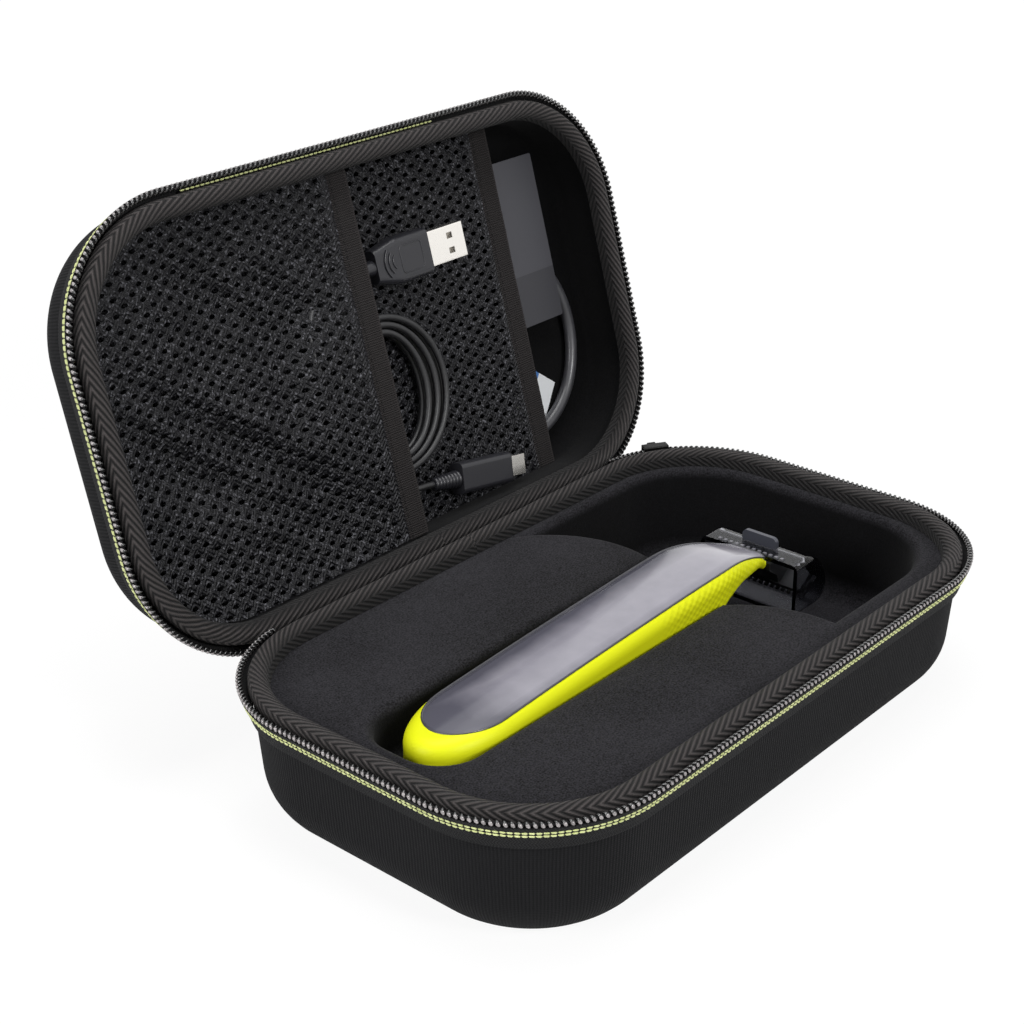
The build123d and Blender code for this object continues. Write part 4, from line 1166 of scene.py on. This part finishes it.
# --------------------------------------
# Back cover: a clear moulding tinted grey-violet, glossy on top, bonded into
# the grip with a dark line all round its edge.
smoke_cover = Finish("smoke_cover", (0.23, 0.21, 0.27), 0.16, coat=0.6)
cover_low, cover_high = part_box("shaver_back_cover")
cover_middle = (cover_high[1] + cover_low[1]) / 2
cover_reach = cover_high[1] - cover_middle
cover_tail_end = cover_low[0] + 0.030
cover_tail_fade = 0.028
# Painted reflection: the colour turns paler where the cover is seen at a grazing angle.
cover_painted_reflection = add_node(smoke_cover.tree, "LayerWeight", {"Blend": 0.45}).outputs["Facing"]
cover_x, cover_y, _ = split(smoke_cover.tree, smoke_cover.place())
cover_side = (cover_y - cover_middle) / cover_reach
smoke_cover.relief(cover_side * cover_side * -1.0, 0.0016)
# Painted shade: the colour darkens towards the cover's far side and towards its tail end.
cover_far_painted_shade = (cover_side * 1.6 + -0.35).clamped()
cover_tail_painted_shade = ((cover_x * -1.0 + cover_tail_end) / cover_tail_fade).clamped()
cover_scuff = smoke_cover.noise(140.0, 6.0)
cover_tone = cover_scuff * 0.3 + Reading(smoke_cover.tree, cover_painted_reflection)
cover_tone = cover_far_painted_shade.step("MAXIMUM", cover_tail_painted_shade) * -0.8 + cover_tone
smoke_cover.paint(cover_tone, (0.10, 0.098, 0.125), (0.42, 0.405, 0.46))
smoke_cover.wear(cover_scuff * 0.18 + 0.08)
smoke_cover.shader["Coat Roughness"].default_value = 0.06
dress("shaver_back_cover", smoke_cover)

seam_dark = Finish("cover_seam", (0.035, 0.035, 0.04), 0.3, coat=0.4)
seam_dark.paint(seam_dark.noise(500.0), (0.02, 0.02, 0.024), (0.06, 0.06, 0.07))


def top_outline(node, least_rise):
    """The corners, in order, of the edge round a node's upward faces."""
    shape = bmesh.new()
    shape.from_mesh(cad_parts[node].data)
    bmesh.ops.remove_doubles(shape, verts=shape.verts, dist=1e-6)
    shape.normal_update()
    after = {}
    for edge in shape.edges:
        rises = [face.normal.z > least_rise for face in edge.link_faces]
        if len(rises) == 2 and rises[0] != rises[1]:
            first, second = edge.verts
            after.setdefault(first.index, []).append(second.index)
            after.setdefault(second.index, []).append(first.index)
    places = {corner.index: corner.co.copy() for corner in shape.verts}
    shape.free()
    best = []
    left_over = set(after)
    while left_over:
        following = [left_over.pop()]
        loop = []
        while following:
            loop.append(following[0])
            left_over.discard(following[0])
            following = [spot for spot in after[loop[-1]] if spot in left_over]
        best = max(best, loop, key=len)
    return [places[spot] for spot in best]


cover_edge = top_outline("shaver_back_cover", 0.5)
raised_line("cover_edge_seam", cover_edge, 0.00032, seam_dark, "shaver", "smoke_cover", True)

# --------------------------------------
# Head: a black glass-filled carrier and toothed guard, with a bare steel cutter
# between them, under a clear cap with a dark thumb tab and a row of nibs.
head_plastic = Finish("head_plastic", (0.014, 0.014, 0.015), 0.4)
head_plastic.relief(head_plastic.noise(2500.0), 0.00004)
dress("blade_carrier", head_plastic)
dress("blade_guard", head_plastic)
blade_steel = Finish("blade_steel", (0.6, 0.6, 0.6), 0.3, metallic=1.0)
blade_steel.wear(blade_steel.noise(800.0, 5.0) * 0.2 + 0.2)
dress("blade_cutter", blade_steel)

clear_cap = Finish("clear_cap", (0.42, 0.425, 0.46), 0.06)
clear_cap.shader["Transmission Weight"].default_value = 1.0
clear_cap.shader["IOR"].default_value = 1.28
clear_cap.wear(clear_cap.noise(260.0, 5.0) * 0.03 + 0.03)
dark_tab = Finish("dark_thumb_tab", (0.060, 0.063, 0.080), 0.28)
cap_nib = Finish("cap_nib", (0.16, 0.16, 0.18), 0.12)
for finish in (dark_tab, cap_nib):
    finish.relief(finish.noise(1800.0), 0.00003)
dress("travel_cap", clear_cap, dark_tab, cap_nib)
cap_roof = 0.04125
tab_start = 0.0650
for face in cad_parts["travel_cap"].data.polygons:
    if face.center.z > cap_roof:
        face.material_index = 1 if face.center.x > tab_start else 2

# --------------------------------------
# Works inside the grip: a wrapped cell, a small motor and a board. They are
# hidden while the shaver is whole.
cell_wrap = Finish("cell_wrap", (0.03, 0.12, 0.22), 0.35)
motor_can = Finish("motor_can", (0.62, 0.62, 0.62), 0.32, metallic=1.0)
board_green = Finish("board_lacquer", (0.01, 0.09, 0.04), 0.4, coat=0.3)
for node, finish, depth in (
    ("battery", cell_wrap, 0.00005),
    ("motor", motor_can, 0.00003),
    ("circuit_board", board_green, 0.00004),
):
    finish.relief(finish.noise(900.0, 3.0), depth)
    dress(node, finish)

# --------------------------------------
# Zip slider and pull: die-cast zinc with black enamel, worn a little shiny.
# They hang at the rear right corner, where the zip is parked open.
enamel = Finish("slider_enamel", (0.004, 0.004, 0.004), 0.5, gloss=0.1)
enamel.wear(enamel.noise(350.0, 5.0) * 0.3 + 0.15)
dress("zip_slider", enamel)
dress("zip_pull", enamel)
